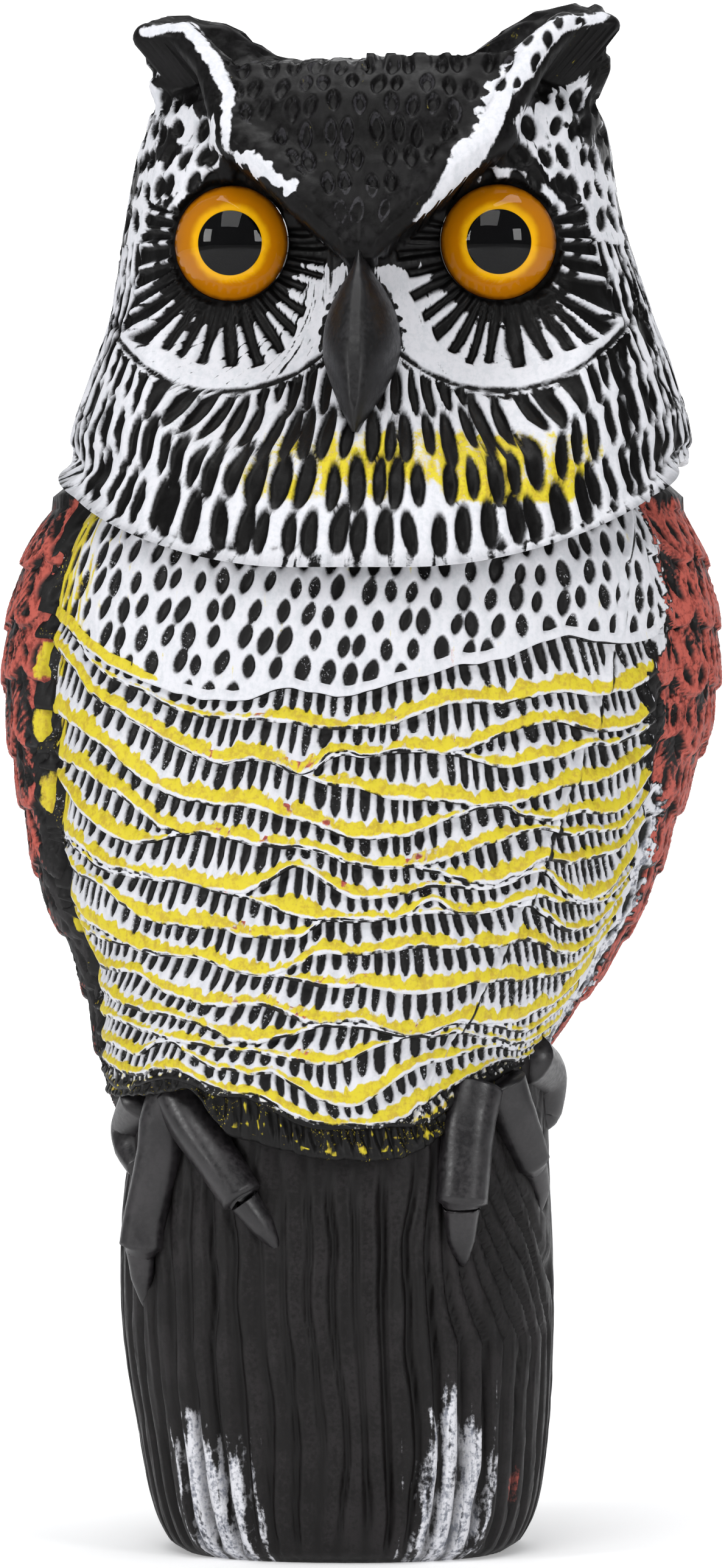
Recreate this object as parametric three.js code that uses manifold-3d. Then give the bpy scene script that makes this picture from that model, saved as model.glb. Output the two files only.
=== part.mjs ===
// Garden owl decoy: a moulded plastic owl standing on a tree stump, with a head that turns on its neck.
// Millimetres, +Z up. The owl faces -Y. The origin is the middle of the stump's flat underside.

import * as THREE from 'three';
import { mergeVertices } from 'three/addons/utils/BufferGeometryUtils.js';
import Module from 'manifold-3d';

const wasm = await Module();
wasm.setup();

// Driving dimensions. The owl's form and carving are drawn at 414 mm and follow HEIGHT.
const HEIGHT = 414;
const DRAWN_HEIGHT = 414;
const NECK_RADIUS = 29;
const NECK_HEIGHT = 26;
const NECK_CLEARANCE = 1.5;
const BEARING_GAP = 0.3;
const SHOULDER_GAP = 1.8;
const SWING_CLEARANCE = 2;
const SKIRT_WALL = 3.4;
const EYE_DIAMETER = 31;
const EYE_DOME = 9.5;
const EYE_SEAT = 7;
const EYE_GAP = 0.35;

// Counts of what repeats.
const FRONT_COLUMNS = 22;
const SIDE_COLUMNS = 10;
const FEATHER_ROWS = 12;
const HEAD_FRONT_COLUMNS = 40;
const HEAD_BACK_COLUMNS = 20;
const HEAD_ROWS = 28;
const FACE_EDGE = 80;
const EYE_SIDES = 24;
const DOME_ROWS = 5;
const TOE_SIDES = 8;
const SIDE_SPREAD = 1.3;

const SCALE = HEIGHT / DRAWN_HEIGHT;
const RADIAN = Math.PI / 180;

// Where the neck's axis stands over the stump, as drawn.
const NECK_X = 7 * SCALE;
const NECK_Y = 25 * SCALE;

const clamp = (value, low = 0, high = 1) => Math.min(high, Math.max(low, value));
const mix = (a, b, t) => a + (b - a) * t;
const smooth = (t) => clamp(t) ** 2 * (3 - 2 * clamp(t));
const around = (degrees) => ((degrees + 540) % 360) - 180;

// The smaller or larger of two values with a rounded corner between them.
const softMin = (a, b, width) => {
  const h = clamp(0.5 + (0.5 * (b - a)) / width);
  return mix(b, a, h) - width * h * (1 - h);
};
const softMax = (a, b, width) => -softMin(-a, -b, width);

// Direction from an upright axis: 0 faces the owl's front, 90 its left side, which is +X.
const heading = (degrees) => [Math.sin(degrees * RADIAN), -Math.cos(degrees * RADIAN)];

// Reads a list of sections at height z with a smooth curve through them.
function sectionAt(sections, z) {
  const last = sections.length - 1;
  let i = 0;
  while (i < last - 1 && z > sections[i + 1][0]) i += 1;
  const [a, b] = [sections[i], sections[i + 1]];
  const before = sections[Math.max(i - 1, 0)];
  const after = sections[Math.min(i + 2, last)];
  const t = clamp((z - a[0]) / (b[0] - a[0]));
  const span = b[0] - a[0];
  return a.slice(1).map((_, k) => {
    const n = k + 1;
    const slopeIn = ((b[n] - before[n]) / (b[0] - before[0])) * span;
    const slopeOut = ((after[n] - a[n]) / (after[0] - a[0])) * span;
    const t2 = t * t;
    const t3 = t2 * t;
    const ends = a[n] * (2 * t3 - 3 * t2 + 1) + b[n] * (3 * t2 - 2 * t3);
    return ends + slopeIn * (t3 - 2 * t2 + t) + slopeOut * (t3 - t2);
  });
}

// Radius of a superellipse with half axes along X and Y.
function ovalRadius(degrees, halfX, halfY, power) {
  const [x, y] = heading(degrees);
  return (Math.abs(x / halfX) ** power + Math.abs(y / halfY) ** power) ** (-1 / power);
}

// Sections of the stump: height, half width, front, back, sideways shift.
const STUMP = [
  [0, 43, -42, 42, 0],
  [3, 47.5, -46.5, 46.5, 0],
  [12, 51.7, -50, 50.5, 0],
  [30, 55, -51.5, 53, -0.5],
  [60, 58.1, -52, 56, -2.1],
  [90, 57.8, -51, 58, -2.6],
  [108, 56.4, -50, 59, -2],
  [140, 55, -49, 60, -1.5],
];
const STUMP_POWER = 2.3;

// Sections of the owl above the hem of its feathers: the same five values.
const BODY = [
  [88, 57, -55, 72, -2],
  [108, 58, -58, 74, -4.5],
  [124, 59, -63, 79, -7],
  [133, 61.5, -65.5, 82, -7],
  [142, 66, -67, 85, -4.6],
  [158, 73.8, -70, 89, -1.1],
  [175, 83.2, -72, 94, -0.5],
  [192, 88.3, -73, 98, 0.4],
  [208, 93.1, -73, 101, 1.5],
  [224, 97, -72, 103, 2.7],
  [241, 98.1, -71, 104, 3.3],
  [257, 96, -69.5, 103.5, 3.8],
  [266, 93.4, -68, 102, 4],
  [274, 90, -65, 100, 4.2],
  [279, 87.2, -62, 97, 4.8],
];
const SHOULDER_START = 279;
const SHOULDER_TOP = 296;
const BODY_POWER = 2.15;

// The wings meet the belly along grooves. The owl's right one, which is towards -X, is deeper and nearer
// the front, and both run further round the sides below: angle above, angle below, depth.
const WING_EDGE = 60;
const RIGHT_GROOVE = [62, 71, 6.5];
const LEFT_GROOVE = [68, 76, 4];
const GROOVE_OPENS = 222;
const GROOVE_OPENING = 85;
const GROOVE_ON_BELLY = 26;
const GROOVE_ON_WING = 11;
const GROOVE_LOW = 120;
const GROOVE_FULL = 160;

// The hem: lowest in front, high over the feet, and down again along the wing tips to the tail.
const HEM_FRONT = 106;
const HEM_RISE = 25;
const HEM_TAIL = 90;
const HEM_TAIL_ANGLE = 155;
const HEM_LEAN = 8;
const CHEST_LINE = 224;
const CHEST_RISE = 14;
const FEATHER_DEPTH = 2.4;
const WING_FEATHER_DEPTH = 1.6;
const FLUTE_DEPTH = 1.7;

// The tail panel behind the stump.
const TAIL_HALF_ANGLE = 34;
const TAIL_TIP = 46;
const TAIL_DEPTH = 9;
const TAIL_EDGE_ANGLE = 9;
const TAIL_TIP_EASE = 6;

function hemHeight(degrees) {
  const side = Math.abs(degrees);
  const tail = smooth((side - WING_EDGE) / (HEM_TAIL_ANGLE - WING_EDGE));
  if (side > WING_EDGE) return mix(HEM_FRONT + HEM_RISE, HEM_TAIL, tail);
  const lean = HEM_LEAN * (1 - (side / WING_EDGE) ** 2);
  return HEM_FRONT + HEM_RISE * smooth(Math.abs(degrees - lean) / WING_EDGE);
}

const chestHeight = (degrees) => CHEST_LINE + CHEST_RISE * smooth(Math.abs(degrees) / WING_EDGE);

function grooveAt(degrees, z) {
  const [above, below, depth] = degrees < 0 ? RIGHT_GROOVE : LEFT_GROOVE;
  const past = Math.abs(degrees) - mix(above, below, smooth((GROOVE_OPENS - z) / GROOVE_OPENING));
  if (past < 0) return depth * clamp(1 + past / GROOVE_ON_BELLY) ** 2;
  return depth * clamp(1 - past / GROOVE_ON_WING) ** 2;
}

// A point of the owl's smooth surface, as drawn. Above the shoulders' start it closes in to the neck.
function bodyPoint(degrees, z, relief = 0) {
  const closing = clamp((z - SHOULDER_START) / (SHOULDER_TOP - SHOULDER_START));
  const [halfX, front, back, shift] = sectionAt(BODY, Math.min(z, SHOULDER_START));
  const middle = (front + back) / 2;
  const inward = Math.sqrt(1 - closing ** 2);
  const fade = smooth((z - GROOVE_LOW) / (GROOVE_FULL - GROOVE_LOW)) * inward;
  const cut = grooveAt(around(degrees), z) * fade + relief;
  const radius = ovalRadius(degrees, halfX, (back - front) / 2, BODY_POWER) - cut;
  const [x, y] = heading(degrees);
  const neck = NECK_RADIUS / SCALE;
  const outer = [shift + x * radius, middle + y * radius];
  const inner = [NECK_X / SCALE + x * neck, NECK_Y / SCALE + y * neck];
  return [mix(inner[0], outer[0], inward), mix(inner[1], outer[1], inward), z];
}

function stumpPoint(degrees, z, relief = 0) {
  const [halfX, front, back, shift] = sectionAt(STUMP, z);
  const behind = smooth((TAIL_HALF_ANGLE - degreesFromBack(degrees)) / TAIL_EDGE_ANGLE);
  const tail = TAIL_DEPTH * behind * smooth((z - TAIL_TIP) / TAIL_TIP_EASE);
  const radius = ovalRadius(degrees, halfX, (back - front) / 2, STUMP_POWER) + tail - relief;
  const [x, y] = heading(degrees);
  return [shift + x * radius, (front + back) / 2 + y * radius, z];
}

const degreesFromBack = (degrees) => 180 - Math.abs(around(degrees));

// Widest reach of the shoulders around the neck's axis at height z: what the turning head has to clear.
const REACH_STEP = 5;
function shoulderReach(z) {
  let reach = 0;
  for (let degrees = -180; degrees < 180; degrees += REACH_STEP) {
    const [x, y] = bodyPoint(degrees, z);
    reach = Math.max(reach, Math.hypot(x * SCALE - NECK_X, y * SCALE - NECK_Y));
  }
  return reach;
}

const span = (a, b) => Math.hypot(a[0] - b[0], a[1] - b[1], a[2] - b[2]);

// Joins rings of points, listed from one pole to the other, into one closed surface.
// A ring has one point at a pole, and may have twice or half as many points as its neighbour.
// Each four-sided cell is split along its shorter diagonal, so that ridges stay clean.
function ringSolid(rings) {
  const points = rings.flat();
  const starts = [];
  rings.reduce((count, ring) => {
    starts.push(count);
    return count + ring.length;
  }, 0);
  const faces = [];
  for (let i = 0; i + 1 < rings.length; i += 1) {
    const [below, above] = [rings[i].length, rings[i + 1].length];
    const low = (j) => starts[i] + (j % below);
    const high = (j) => starts[i + 1] + (j % above);
    for (let j = 0; j < Math.max(below, above); j += 1) {
      if (below === 1) faces.push(low(0), high(j + 1), high(j));
      else if (above === 1) faces.push(low(j), low(j + 1), high(0));
      else if (below === above) {
        const [a, b, c, d] = [low(j), low(j + 1), high(j + 1), high(j)];
        const rising = span(points[a], points[c]) <= span(points[b], points[d]);
        faces.push(...(rising ? [a, b, c, a, c, d] : [a, b, d, b, c, d]));
      }
      else if (below === 2 * above && j < above) {
        faces.push(low(2 * j), low(2 * j + 1), high(j), low(2 * j + 1), low(2 * j + 2), high(j + 1));
        faces.push(low(2 * j + 1), high(j + 1), high(j));
      } else if (above === 2 * below && j < below) {
        faces.push(low(j), high(2 * j + 1), high(2 * j), low(j + 1), high(2 * j + 2), high(2 * j + 1));
        faces.push(low(j), low(j + 1), high(2 * j + 1));
      }
    }
  }
  const geometry = new THREE.BufferGeometry();
  geometry.setAttribute('position', new THREE.Float32BufferAttribute(points.flat(), 3));
  geometry.setIndex(faces);
  return geometry;
}

// Angles around the owl: even across the belly, then wider apart behind the edge of each wing.
function columnAngles(frontCount, sideCount, edge) {
  const angles = [];
  for (let i = 0; i <= frontCount; i += 1) angles.push(mix(-edge, edge, i / frontCount));
  for (let i = 1; i <= sideCount; i += 1) angles.push(mix(edge, 180, (i / sideCount) ** SIDE_SPREAD));
  for (let i = sideCount - 1; i >= 1; i -= 1) angles.push(mix(-edge, -180, (i / sideCount) ** SIDE_SPREAD));
  return angles;
}

const COLUMNS = columnAngles(FRONT_COLUMNS, SIDE_COLUMNS, WING_EDGE);
const STUMP_COLUMNS = COLUMNS.flatMap((angle, i) => {
  const next = COLUMNS[(i + 1) % COLUMNS.length];
  return [angle, around(angle + around(next - angle) / 2)];
});

const scaled = ([x, y, z]) => [x * SCALE, y * SCALE, z * SCALE];

// The stump: bark flutes of uneven depth run from the rounded foot up to the hem.
const FLUTE_FOOT = 12;
const FLUTE_UNEVENNESS = 0.25;
const FLUTE_PHASE = 2.3;
const STUMP_LEVELS = [0, 3, 12, 40, 80];
const HEM_UNDERCUT = 2.5;
function stumpRings() {
  const depthOf = (i) => FLUTE_DEPTH * (1 - FLUTE_UNEVENNESS * (1 - Math.sin(i * FLUTE_PHASE)));
  const fluteAt = (i, z) => (i % 2) * depthOf(i) * smooth(z / FLUTE_FOOT);
  const level = (z) => STUMP_COLUMNS.map((angle, i) => scaled(stumpPoint(angle, z, fluteAt(i, z))));
  const underHem = STUMP_COLUMNS.map((angle, i) => {
    const z = hemHeight(angle) - HEM_UNDERCUT;
    return scaled(stumpPoint(angle, z, fluteAt(i, z)));
  });
  return [[[0, 0, 0]], ...STUMP_LEVELS.map(level), underHem];
}

// The feathers: each row's lip stands out over the row below it. A row is set by two lines:
// how far up the row each one is, and how much of the feather's depth it is cut back.
const FEATHER_LINES = [[0.04, 0], [0.9, 1]];
function featherRings() {
  const rings = [];
  for (let row = 0; row < FEATHER_ROWS; row += 1) {
    for (const [rise, cut] of FEATHER_LINES) {
      rings.push(COLUMNS.map((angle) => {
        const z = mix(hemHeight(angle), chestHeight(angle), (row + rise) / FEATHER_ROWS);
        const depth = Math.abs(angle) < WING_EDGE ? FEATHER_DEPTH : WING_FEATHER_DEPTH;
        return scaled(bodyPoint(angle, z, depth * cut));
      }));
    }
  }
  return rings;
}

// The chest, the shoulders and the post that the head turns on.
const CHEST_SHARES = [0.03, 0.35, 0.6, 0.8, 1];
const SHOULDER_TURNS = [30, 58, 90];
function shoulderRings() {
  const between = (share) => COLUMNS.map((angle) => {
    return scaled(bodyPoint(angle, mix(chestHeight(angle), SHOULDER_START, share)));
  });
  const closing = SHOULDER_TURNS.map((turn) => {
    const z = mix(SHOULDER_START, SHOULDER_TOP, Math.sin(turn * RADIAN));
    return COLUMNS.map((angle) => scaled(bodyPoint(angle, z)));
  });
  return CHEST_SHARES.map(between).concat(closing, [postRing(NECK_HEIGHT)], [[postPole()]]);
}

const postRing = (rise) => COLUMNS.map((angle) => {
  const [x, y] = heading(angle);
  return [NECK_X + x * NECK_RADIUS, NECK_Y + y * NECK_RADIUS, SHOULDER_TOP * SCALE + rise];
});

const postPole = () => [NECK_X, NECK_Y, SHOULDER_TOP * SCALE + NECK_HEIGHT];

// Solids for joining and cutting. Points closer together than WELD are one point.
const WELD = 1e-4;
function solidOf(geometry) {
  const bare = geometry.clone();
  bare.deleteAttribute('normal');
  bare.deleteAttribute('uv');
  const merged = mergeVertices(bare, WELD);
  const vertProperties = new Float32Array(merged.getAttribute('position').array);
  const triVerts = new Uint32Array(merged.getIndex().array);
  return new wasm.Manifold(new wasm.Mesh({ numProp: 3, vertProperties, triVerts }));
}

function geometryOf(solid) {
  const mesh = solid.getMesh();
  const geometry = new THREE.BufferGeometry();
  geometry.setAttribute('position', new THREE.Float32BufferAttribute(mesh.vertProperties, 3));
  geometry.setIndex(new THREE.Uint32BufferAttribute(mesh.triVerts, 1));
  return geometry;
}

// A limb through the given points, each with its own radius, closed by a point at both ends.
function limb(spots) {
  const points = spots.map(([x, y, z]) => new THREE.Vector3(x, y, z));
  const rings = spots.map(([, , , radius], i) => {
    const ahead = points[Math.min(i + 1, points.length - 1)];
    const behind = points[Math.max(i - 1, 0)];
    const along = ahead.clone().sub(behind).normalize();
    const outward = new THREE.Vector3(points[i].x, points[i].y, 0);
    const side = outward.cross(along).normalize();
    const over = along.clone().cross(side);
    return Array.from({ length: TOE_SIDES }, (_, k) => {
      const turn = (k / TOE_SIDES) * 2 * Math.PI;
      const offset = side.clone().multiplyScalar(Math.cos(turn) * radius);
      offset.addScaledVector(over, Math.sin(turn) * radius);
      return points[i].clone().add(offset).toArray();
    });
  });
  return ringSolid([[points[0].toArray()], ...rings, [points.at(-1).toArray()]]);
}

// Toes, as drawn: each spot is an angle and a height on the stump, how far out, and a radius.
// Every toe starts in the foot under the hem, bends at a knuckle and ends in a claw.
const TOES = [
  [[-44.6, 122.6, 0, 8.5], [-47.2, 116.2, 1.6, 7.2], [-48.4, 106.5, 1.8, 6.7], [-52.5, 90.3, 1.4, 6.5],
    [-53.8, 83, 1.4, 6.9], [-54.6, 81.4, 1, 4.8], [-55.9, 74, 0, 3.4], [-58.1, 66.1, -2, 0.8]],
  [[-42.2, 121.9, 0, 8.5], [-36.5, 114.9, 1.4, 7], [-28.5, 105.6, 1.8, 6.4], [-21.6, 96.6, 1.8, 6],
    [-20.6, 95.2, 1.6, 4.3], [-15.9, 88.3, 0, 3.2], [-12.7, 82.6, -2, 0.8]],
  [[-62, 122, -1, 7.5], [-76, 113.3, -0.8, 6.5], [-73, 107.1, -1, 5.6], [-67, 102.2, -1.6, 3]],
  [[41.7, 124.5, 0, 8.5], [38.9, 116.7, 1.8, 7.8], [37.7, 107.2, 2.4, 7.6], [36.9, 95.2, 2.4, 7.6],
    [37.2, 93.6, 2, 5.4], [38, 84.9, 0.6, 4], [40.2, 78.3, -2, 0.8]],
  [[50.7, 125.9, 0, 8], [54, 119.4, 0.8, 6.8], [59, 112, 0.8, 6.2], [63.5, 105.2, 0.8, 5.6],
    [66.1, 103.4, 0.2, 4.2], [72.4, 96.8, -0.4, 2.8], [76.5, 90.4, -2.2, 0.8]],
  [[67.6, 132.6, -2, 8], [86, 127, -1, 6.8], [90, 117, -2, 6], [88, 113.4, -3, 3]],
];

function toeSolid(spots) {
  return limb(spots.map(([angle, z, out, radius]) => {
    return [...scaled(stumpPoint(angle, z, -out)), radius * SCALE];
  }));
}

function makeBody() {
  const torso = ringSolid([...stumpRings(), ...featherRings(), ...shoulderRings()]);
  return geometryOf(TOES.reduce((solid, toe) => solid.add(solidOf(toeSolid(toe))), solidOf(torso)));
}

// The head is drawn around the neck's axis: height, half width, front, back, sideways shift.
const HEAD = [
  [255, 96, -104, 92, 1.6],
  [268, 90, -100, 88, 1.6],
  [280, 86, -95, 84, 1.4],
  [291, 83.5, -91, 81, 1],
  [299, 84.5, -87, 79, 1.2],
  [315, 79.9, -79, 75, 1.6],
  [332, 74, -70, 71, 1.4],
  [340, 72, -68, 70, 0.7],
  [357, 68, -67, 68, -0.8],
  [373, 65, -65, 64, -0.8],
  [390, 62, -62, 58, 0.6],
];
const CROWN_TOP = 401;
const CROWN_RISE = 27;
const CROWN_LEAN = 6;
const CROWN_POWER = 3.2;
const HEAD_POWER = 2.45;
const SKIRT_FRONT = 261;
const SKIRT_RISE = 31;
const SKIRT_DIP_ANGLE = 8;
const SKIRT_RISE_ANGLE = 75;

// The ears and the ridge that runs down from each of them to the beak: points with a radius.
const EAR = [
  [30, -18, 389, 13],
  [43, -22, 401, 10.5],
  [51, -25, 404.5, 8.5],
  [55.5, -28, 406.5, 6],
  [54.5, -25, 395, 6.5],
  [49, -18, 384, 9],
];
const EAR_HOLLOW = [[53, -50, 397, 9], [50, -56, 384, 12]];
const BROW = [
  [60, -34, 405, 4],
  [49, -39, 404.5, 4.4],
  [41, -46, 396, 5],
  [37, -52, 385, 5.6],
  [34, -57, 376, 6],
  [25, -63, 369, 6],
  [14, -68, 358, 5.4],
  [3, -71, 347, 4.4],
];

// The owl's left ear stands a little higher and further out than its right one.
const LEFT_EAR_LIFT = 2.5;
const LEFT_EAR_OUT = 3.6;
const EAR_FOOT = 378;
const EAR_FULL = 398;

// The forehead lies nearly flush between the two ridges, from the ears down to the beak.
const FOREHEAD_TOP = 397;
const FOREHEAD_FOOT = 343;
const FOREHEAD_BACK = -30;
const FOREHEAD_SET_BACK = 0.7;

// How softly the ears, the hollows and the ridges run into the skull.
const EAR_BLEND = 6;
const HOLLOW_BLEND = 4;
const BROW_BLEND = 4;

// The facial discs and the places of the eyes.
const EYE_X = 35.5;
const EYE_Y = -52;
const EYE_Z = 348.5;
const EYE_YAW = 7;
const DISC_RADIUS = 62;
const DISC_BOTTOM = -51;
const DISC_OUT = 1.9;
const DISC_DROP = 3;

// Distance outside a tapered limb through the given points.
function limbDistance(spots, [x, y, z]) {
  let nearest = Infinity;
  for (let i = 0; i + 1 < spots.length; i += 1) {
    const [a, b] = [spots[i], spots[i + 1]];
    const along = [b[0] - a[0], b[1] - a[1], b[2] - a[2]];
    const to = [x - a[0], y - a[1], z - a[2]];
    const length2 = along[0] ** 2 + along[1] ** 2 + along[2] ** 2;
    const t = clamp((to[0] * along[0] + to[1] * along[1] + to[2] * along[2]) / length2);
    const gap = Math.hypot(to[0] - along[0] * t, to[1] - along[1] * t, to[2] - along[2] * t);
    nearest = Math.min(nearest, gap - mix(a[3], b[3], t));
  }
  return nearest;
}

// The ridge's place and radius at height z.
function browAt(z) {
  let i = 0;
  while (i < BROW.length - 2 && z < BROW[i + 1][2]) i += 1;
  const [a, b] = [BROW[i], BROW[i + 1]];
  const t = clamp((a[2] - z) / (a[2] - b[2]));
  return a.map((value, k) => mix(value, b[k], t));
}

function foreheadDistance([x, y, z]) {
  const [ridgeX, ridgeY, , radius] = browAt(z);
  const front = ridgeY - radius * FOREHEAD_SET_BACK;
  return Math.max(x - ridgeX, front - y, y - FOREHEAD_BACK, z - FOREHEAD_TOP, FOREHEAD_FOOT - z);
}

// Below zero inside the head, above zero outside, in drawn millimetres from the neck's axis.
function headField(x, y, z) {
  const [halfX, front, back, shift] = sectionAt(HEAD, Math.min(z, HEAD.at(-1)[0]));
  const degrees = Math.atan2(x - shift, -y) / RADIAN;
  const reach = ovalRadius(degrees, halfX, y < 0 ? -front : back, HEAD_POWER);
  const flat = Math.hypot(x - shift, y) / reach;
  const rise = Math.max(z - CROWN_TOP + CROWN_RISE, 0) / CROWN_RISE;
  const share = (flat ** CROWN_POWER + rise ** CROWN_POWER) ** (1 / CROWN_POWER);
  const skull = (share - 1) * (reach - CROWN_LEAN * rise);
  const ear = x > 0 ? smooth((z - EAR_FOOT) / (EAR_FULL - EAR_FOOT)) : 0;
  const mirrored = [Math.abs(x) - LEFT_EAR_OUT * ear, y, z - LEFT_EAR_LIFT * ear];
  const disc = [Math.abs(x) - EYE_X - DISC_OUT, y - DISC_BOTTOM + DISC_RADIUS, z - EYE_Z + DISC_DROP];
  const bowl = Math.hypot(...disc) - DISC_RADIUS;
  const eared = softMin(skull, limbDistance(EAR, mirrored), EAR_BLEND);
  const dished = softMax(eared, -bowl, HOLLOW_BLEND);
  const hollowed = softMax(dished, -limbDistance(EAR_HOLLOW, mirrored), HOLLOW_BLEND);
  const browed = softMin(hollowed, limbDistance(BROW, mirrored), BROW_BLEND);
  return softMin(browed, foreheadDistance(mirrored), BROW_BLEND);
}

// Distance from the head's middle to its surface along one direction, as drawn. The search starts
// outside the head, steps inwards until it is inside, and then halves the last step.
const HEAD_MIDDLE = [0, -4, 338];
const SEARCH_START = 150;
const SEARCH_STEP = 2;
const SEARCH_HALVINGS = 18;
function headReach(direction) {
  const at = (t) => headField(...HEAD_MIDDLE.map((start, k) => start + direction[k] * t));
  let outside = SEARCH_START;
  while (at(outside - SEARCH_STEP) > 0) outside -= SEARCH_STEP;
  let inside = outside - SEARCH_STEP;
  for (let i = 0; i < SEARCH_HALVINGS; i += 1) {
    const half = (inside + outside) / 2;
    if (at(half) > 0) outside = half;
    else inside = half;
  }
  return inside;
}

// The skirt's rim dips in front and rises over the shoulders.
function rimHeight(degrees) {
  const share = smooth((Math.abs(degrees) - SKIRT_DIP_ANGLE) / SKIRT_RISE_ANGLE);
  return (SKIRT_FRONT + SKIRT_RISE * share) * SCALE;
}

// Rows are spread by how steeply they look up from the head's middle: from the rim to a level line,
// closest together from there over the face to the ears, and then on to the crown.
const LEVEL_TILT = -4 * RADIAN;
const EAR_TILT = 50 * RADIAN;
const LEVEL_SHARE = 0.24;
const EAR_SHARE = 0.86;
function rowTilt(low, share) {
  if (share < LEVEL_SHARE) return mix(low, LEVEL_TILT, share / LEVEL_SHARE);
  const face = (share - LEVEL_SHARE) / (EAR_SHARE - LEVEL_SHARE);
  if (share < EAR_SHARE) return mix(LEVEL_TILT, EAR_TILT, face);
  return mix(EAR_TILT, Math.PI / 2, (share - EAR_SHARE) / (1 - EAR_SHARE));
}

// The bell inside the skirt keeps clear of the shoulders' widest sweep.
const BELL_SHARES = [0.92, 0.72, 0.4, 0];
const bellRadius = (z) => shoulderReach((z - SHOULDER_GAP) / SCALE) + SWING_CLEARANCE;

// The flats between the bell's wider columns cut inside their circle, and this makes up for it.
const FLAT_ALLOWANCE = 1.02;

function headRings() {
  const columns = columnAngles(HEAD_FRONT_COLUMNS, HEAD_BACK_COLUMNS / 2, FACE_EDGE);
  const inner = columns.filter((_, i) => i % 2 === 0);
  const roof = SHOULDER_TOP * SCALE + SHOULDER_GAP;
  const socketTop = SHOULDER_TOP * SCALE + NECK_HEIGHT + BEARING_GAP;
  const round = (angles, radius, z) => angles.map((angle) => {
    const [x, y] = heading(angle);
    return [x * radius, y * radius, z];
  });
  const bellRings = BELL_SHARES.map((share) => (share > 0 ? inner : columns).map((angle) => {
    const z = mix(rimHeight(angle), roof, share);
    const radius = bellRadius(z) * (share > 0 ? FLAT_ALLOWANCE : 1);
    const [x, y] = heading(angle);
    return [x * radius, y * radius, z];
  }));
  const rim = columns.map((angle) => {
    const z = rimHeight(angle);
    const [halfX, front, back] = sectionAt(HEAD, z / SCALE);
    const drawn = ovalRadius(angle, halfX, Math.abs(angle) < 90 ? -front : back, HEAD_POWER) * SCALE;
    const radius = Math.max(bellRadius(z) + SKIRT_WALL, drawn);
    const [x, y] = heading(angle);
    return [x * radius, y * radius, z];
  });
  const outer = Array.from({ length: HEAD_ROWS }, (_, row) => columns.map((angle, i) => {
    const foot = rim[i].map((value, k) => value / SCALE - HEAD_MIDDLE[k]);
    const low = Math.atan2(foot[2], Math.hypot(foot[0], foot[1]));
    const tilt = rowTilt(low, (row + 1) / (HEAD_ROWS + 1));
    const turn = Math.atan2(foot[1], foot[0]);
    const direction = [Math.cos(tilt) * Math.cos(turn), Math.cos(tilt) * Math.sin(turn), Math.sin(tilt)];
    const reach = headReach(direction);
    return scaled(HEAD_MIDDLE.map((start, k) => start + direction[k] * reach));
  }));
  const crown = scaled([HEAD_MIDDLE[0], HEAD_MIDDLE[1], HEAD_MIDDLE[2] + headReach([0, 0, 1])]);
  const socket = NECK_RADIUS + NECK_CLEARANCE;
  return [
    [[0, 0, socketTop]],
    round(inner, socket, socketTop),
    round(inner, socket, roof),
    ...bellRings,
    rim,
    ...outer,
    [crown],
  ];
}

// The beak, as drawn: height, half width, how far forward its ridge stands, and its root.
const BEAK = [
  [347, 1.2, -74, -60],
  [341, 2.4, -79, -58],
  [335, 6.2, -83.5, -56],
  [329, 9, -87, -56],
  [323, 10.3, -89.5, -56],
  [317, 10.1, -91.5, -58],
  [311, 8.2, -92.5, -62],
  [305, 5.6, -93, -68],
  [300, 3, -92.5, -76],
  [296.5, 0.9, -91, -84],
];
const BEAK_TURNS = [-90, -60, -32, 0, 32, 60, 90];
const BEAK_FULLNESS = 0.85;

function beakGeometry() {
  const rings = BEAK.map(([z, halfWidth, ridge, root]) => BEAK_TURNS.map((turn) => {
    const x = halfWidth * Math.sin(turn * RADIAN);
    return scaled([x, mix(root, ridge, Math.cos(turn * RADIAN) ** BEAK_FULLNESS), z]);
  }));
  const pole = ([z, , ridge, root]) => [scaled([0, (ridge + root) / 2, z])];
  return ringSolid([pole(BEAK.at(-1)), ...rings.reverse(), pole(BEAK[0])]);
}

// An eye is a clear dome over a painted ring, on a short stem that seats in the head.
function eyeGeometry() {
  const radius = EYE_DIAMETER / 2;
  const sphere = (radius ** 2 + EYE_DOME ** 2) / (2 * EYE_DOME);
  const arc = Math.asin(radius / sphere);
  const profile = [new THREE.Vector2(0, -EYE_SEAT), new THREE.Vector2(radius, -EYE_SEAT)];
  for (let i = 0; i <= DOME_ROWS; i += 1) {
    const turn = arc * (1 - i / DOME_ROWS);
    profile.push(new THREE.Vector2(sphere * Math.sin(turn), EYE_DOME - sphere + sphere * Math.cos(turn)));
  }
  profile[profile.length - 1].x = 0;
  return new THREE.LatheGeometry(profile, EYE_SIDES);
}

// A socket is cut from the eye's own sizes and reaches out past the brow.
function socketGeometry() {
  const radius = EYE_DIAMETER / 2 + EYE_GAP;
  const deep = EYE_SEAT + EYE_GAP;
  const geometry = new THREE.CylinderGeometry(radius, radius, deep + EYE_DOME, EYE_SIDES);
  return geometry.translate(0, (EYE_DOME - deep) / 2, 0);
}

// Places a piece whose axis is +Y at an eye: side is 1 for the owl's left, -1 for its right.
function placeEye(object, side) {
  object.position.set(side * EYE_X * SCALE, EYE_Y * SCALE, EYE_Z * SCALE);
  object.rotation.set(0, 0, Math.PI + side * EYE_YAW * RADIAN);
}

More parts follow.
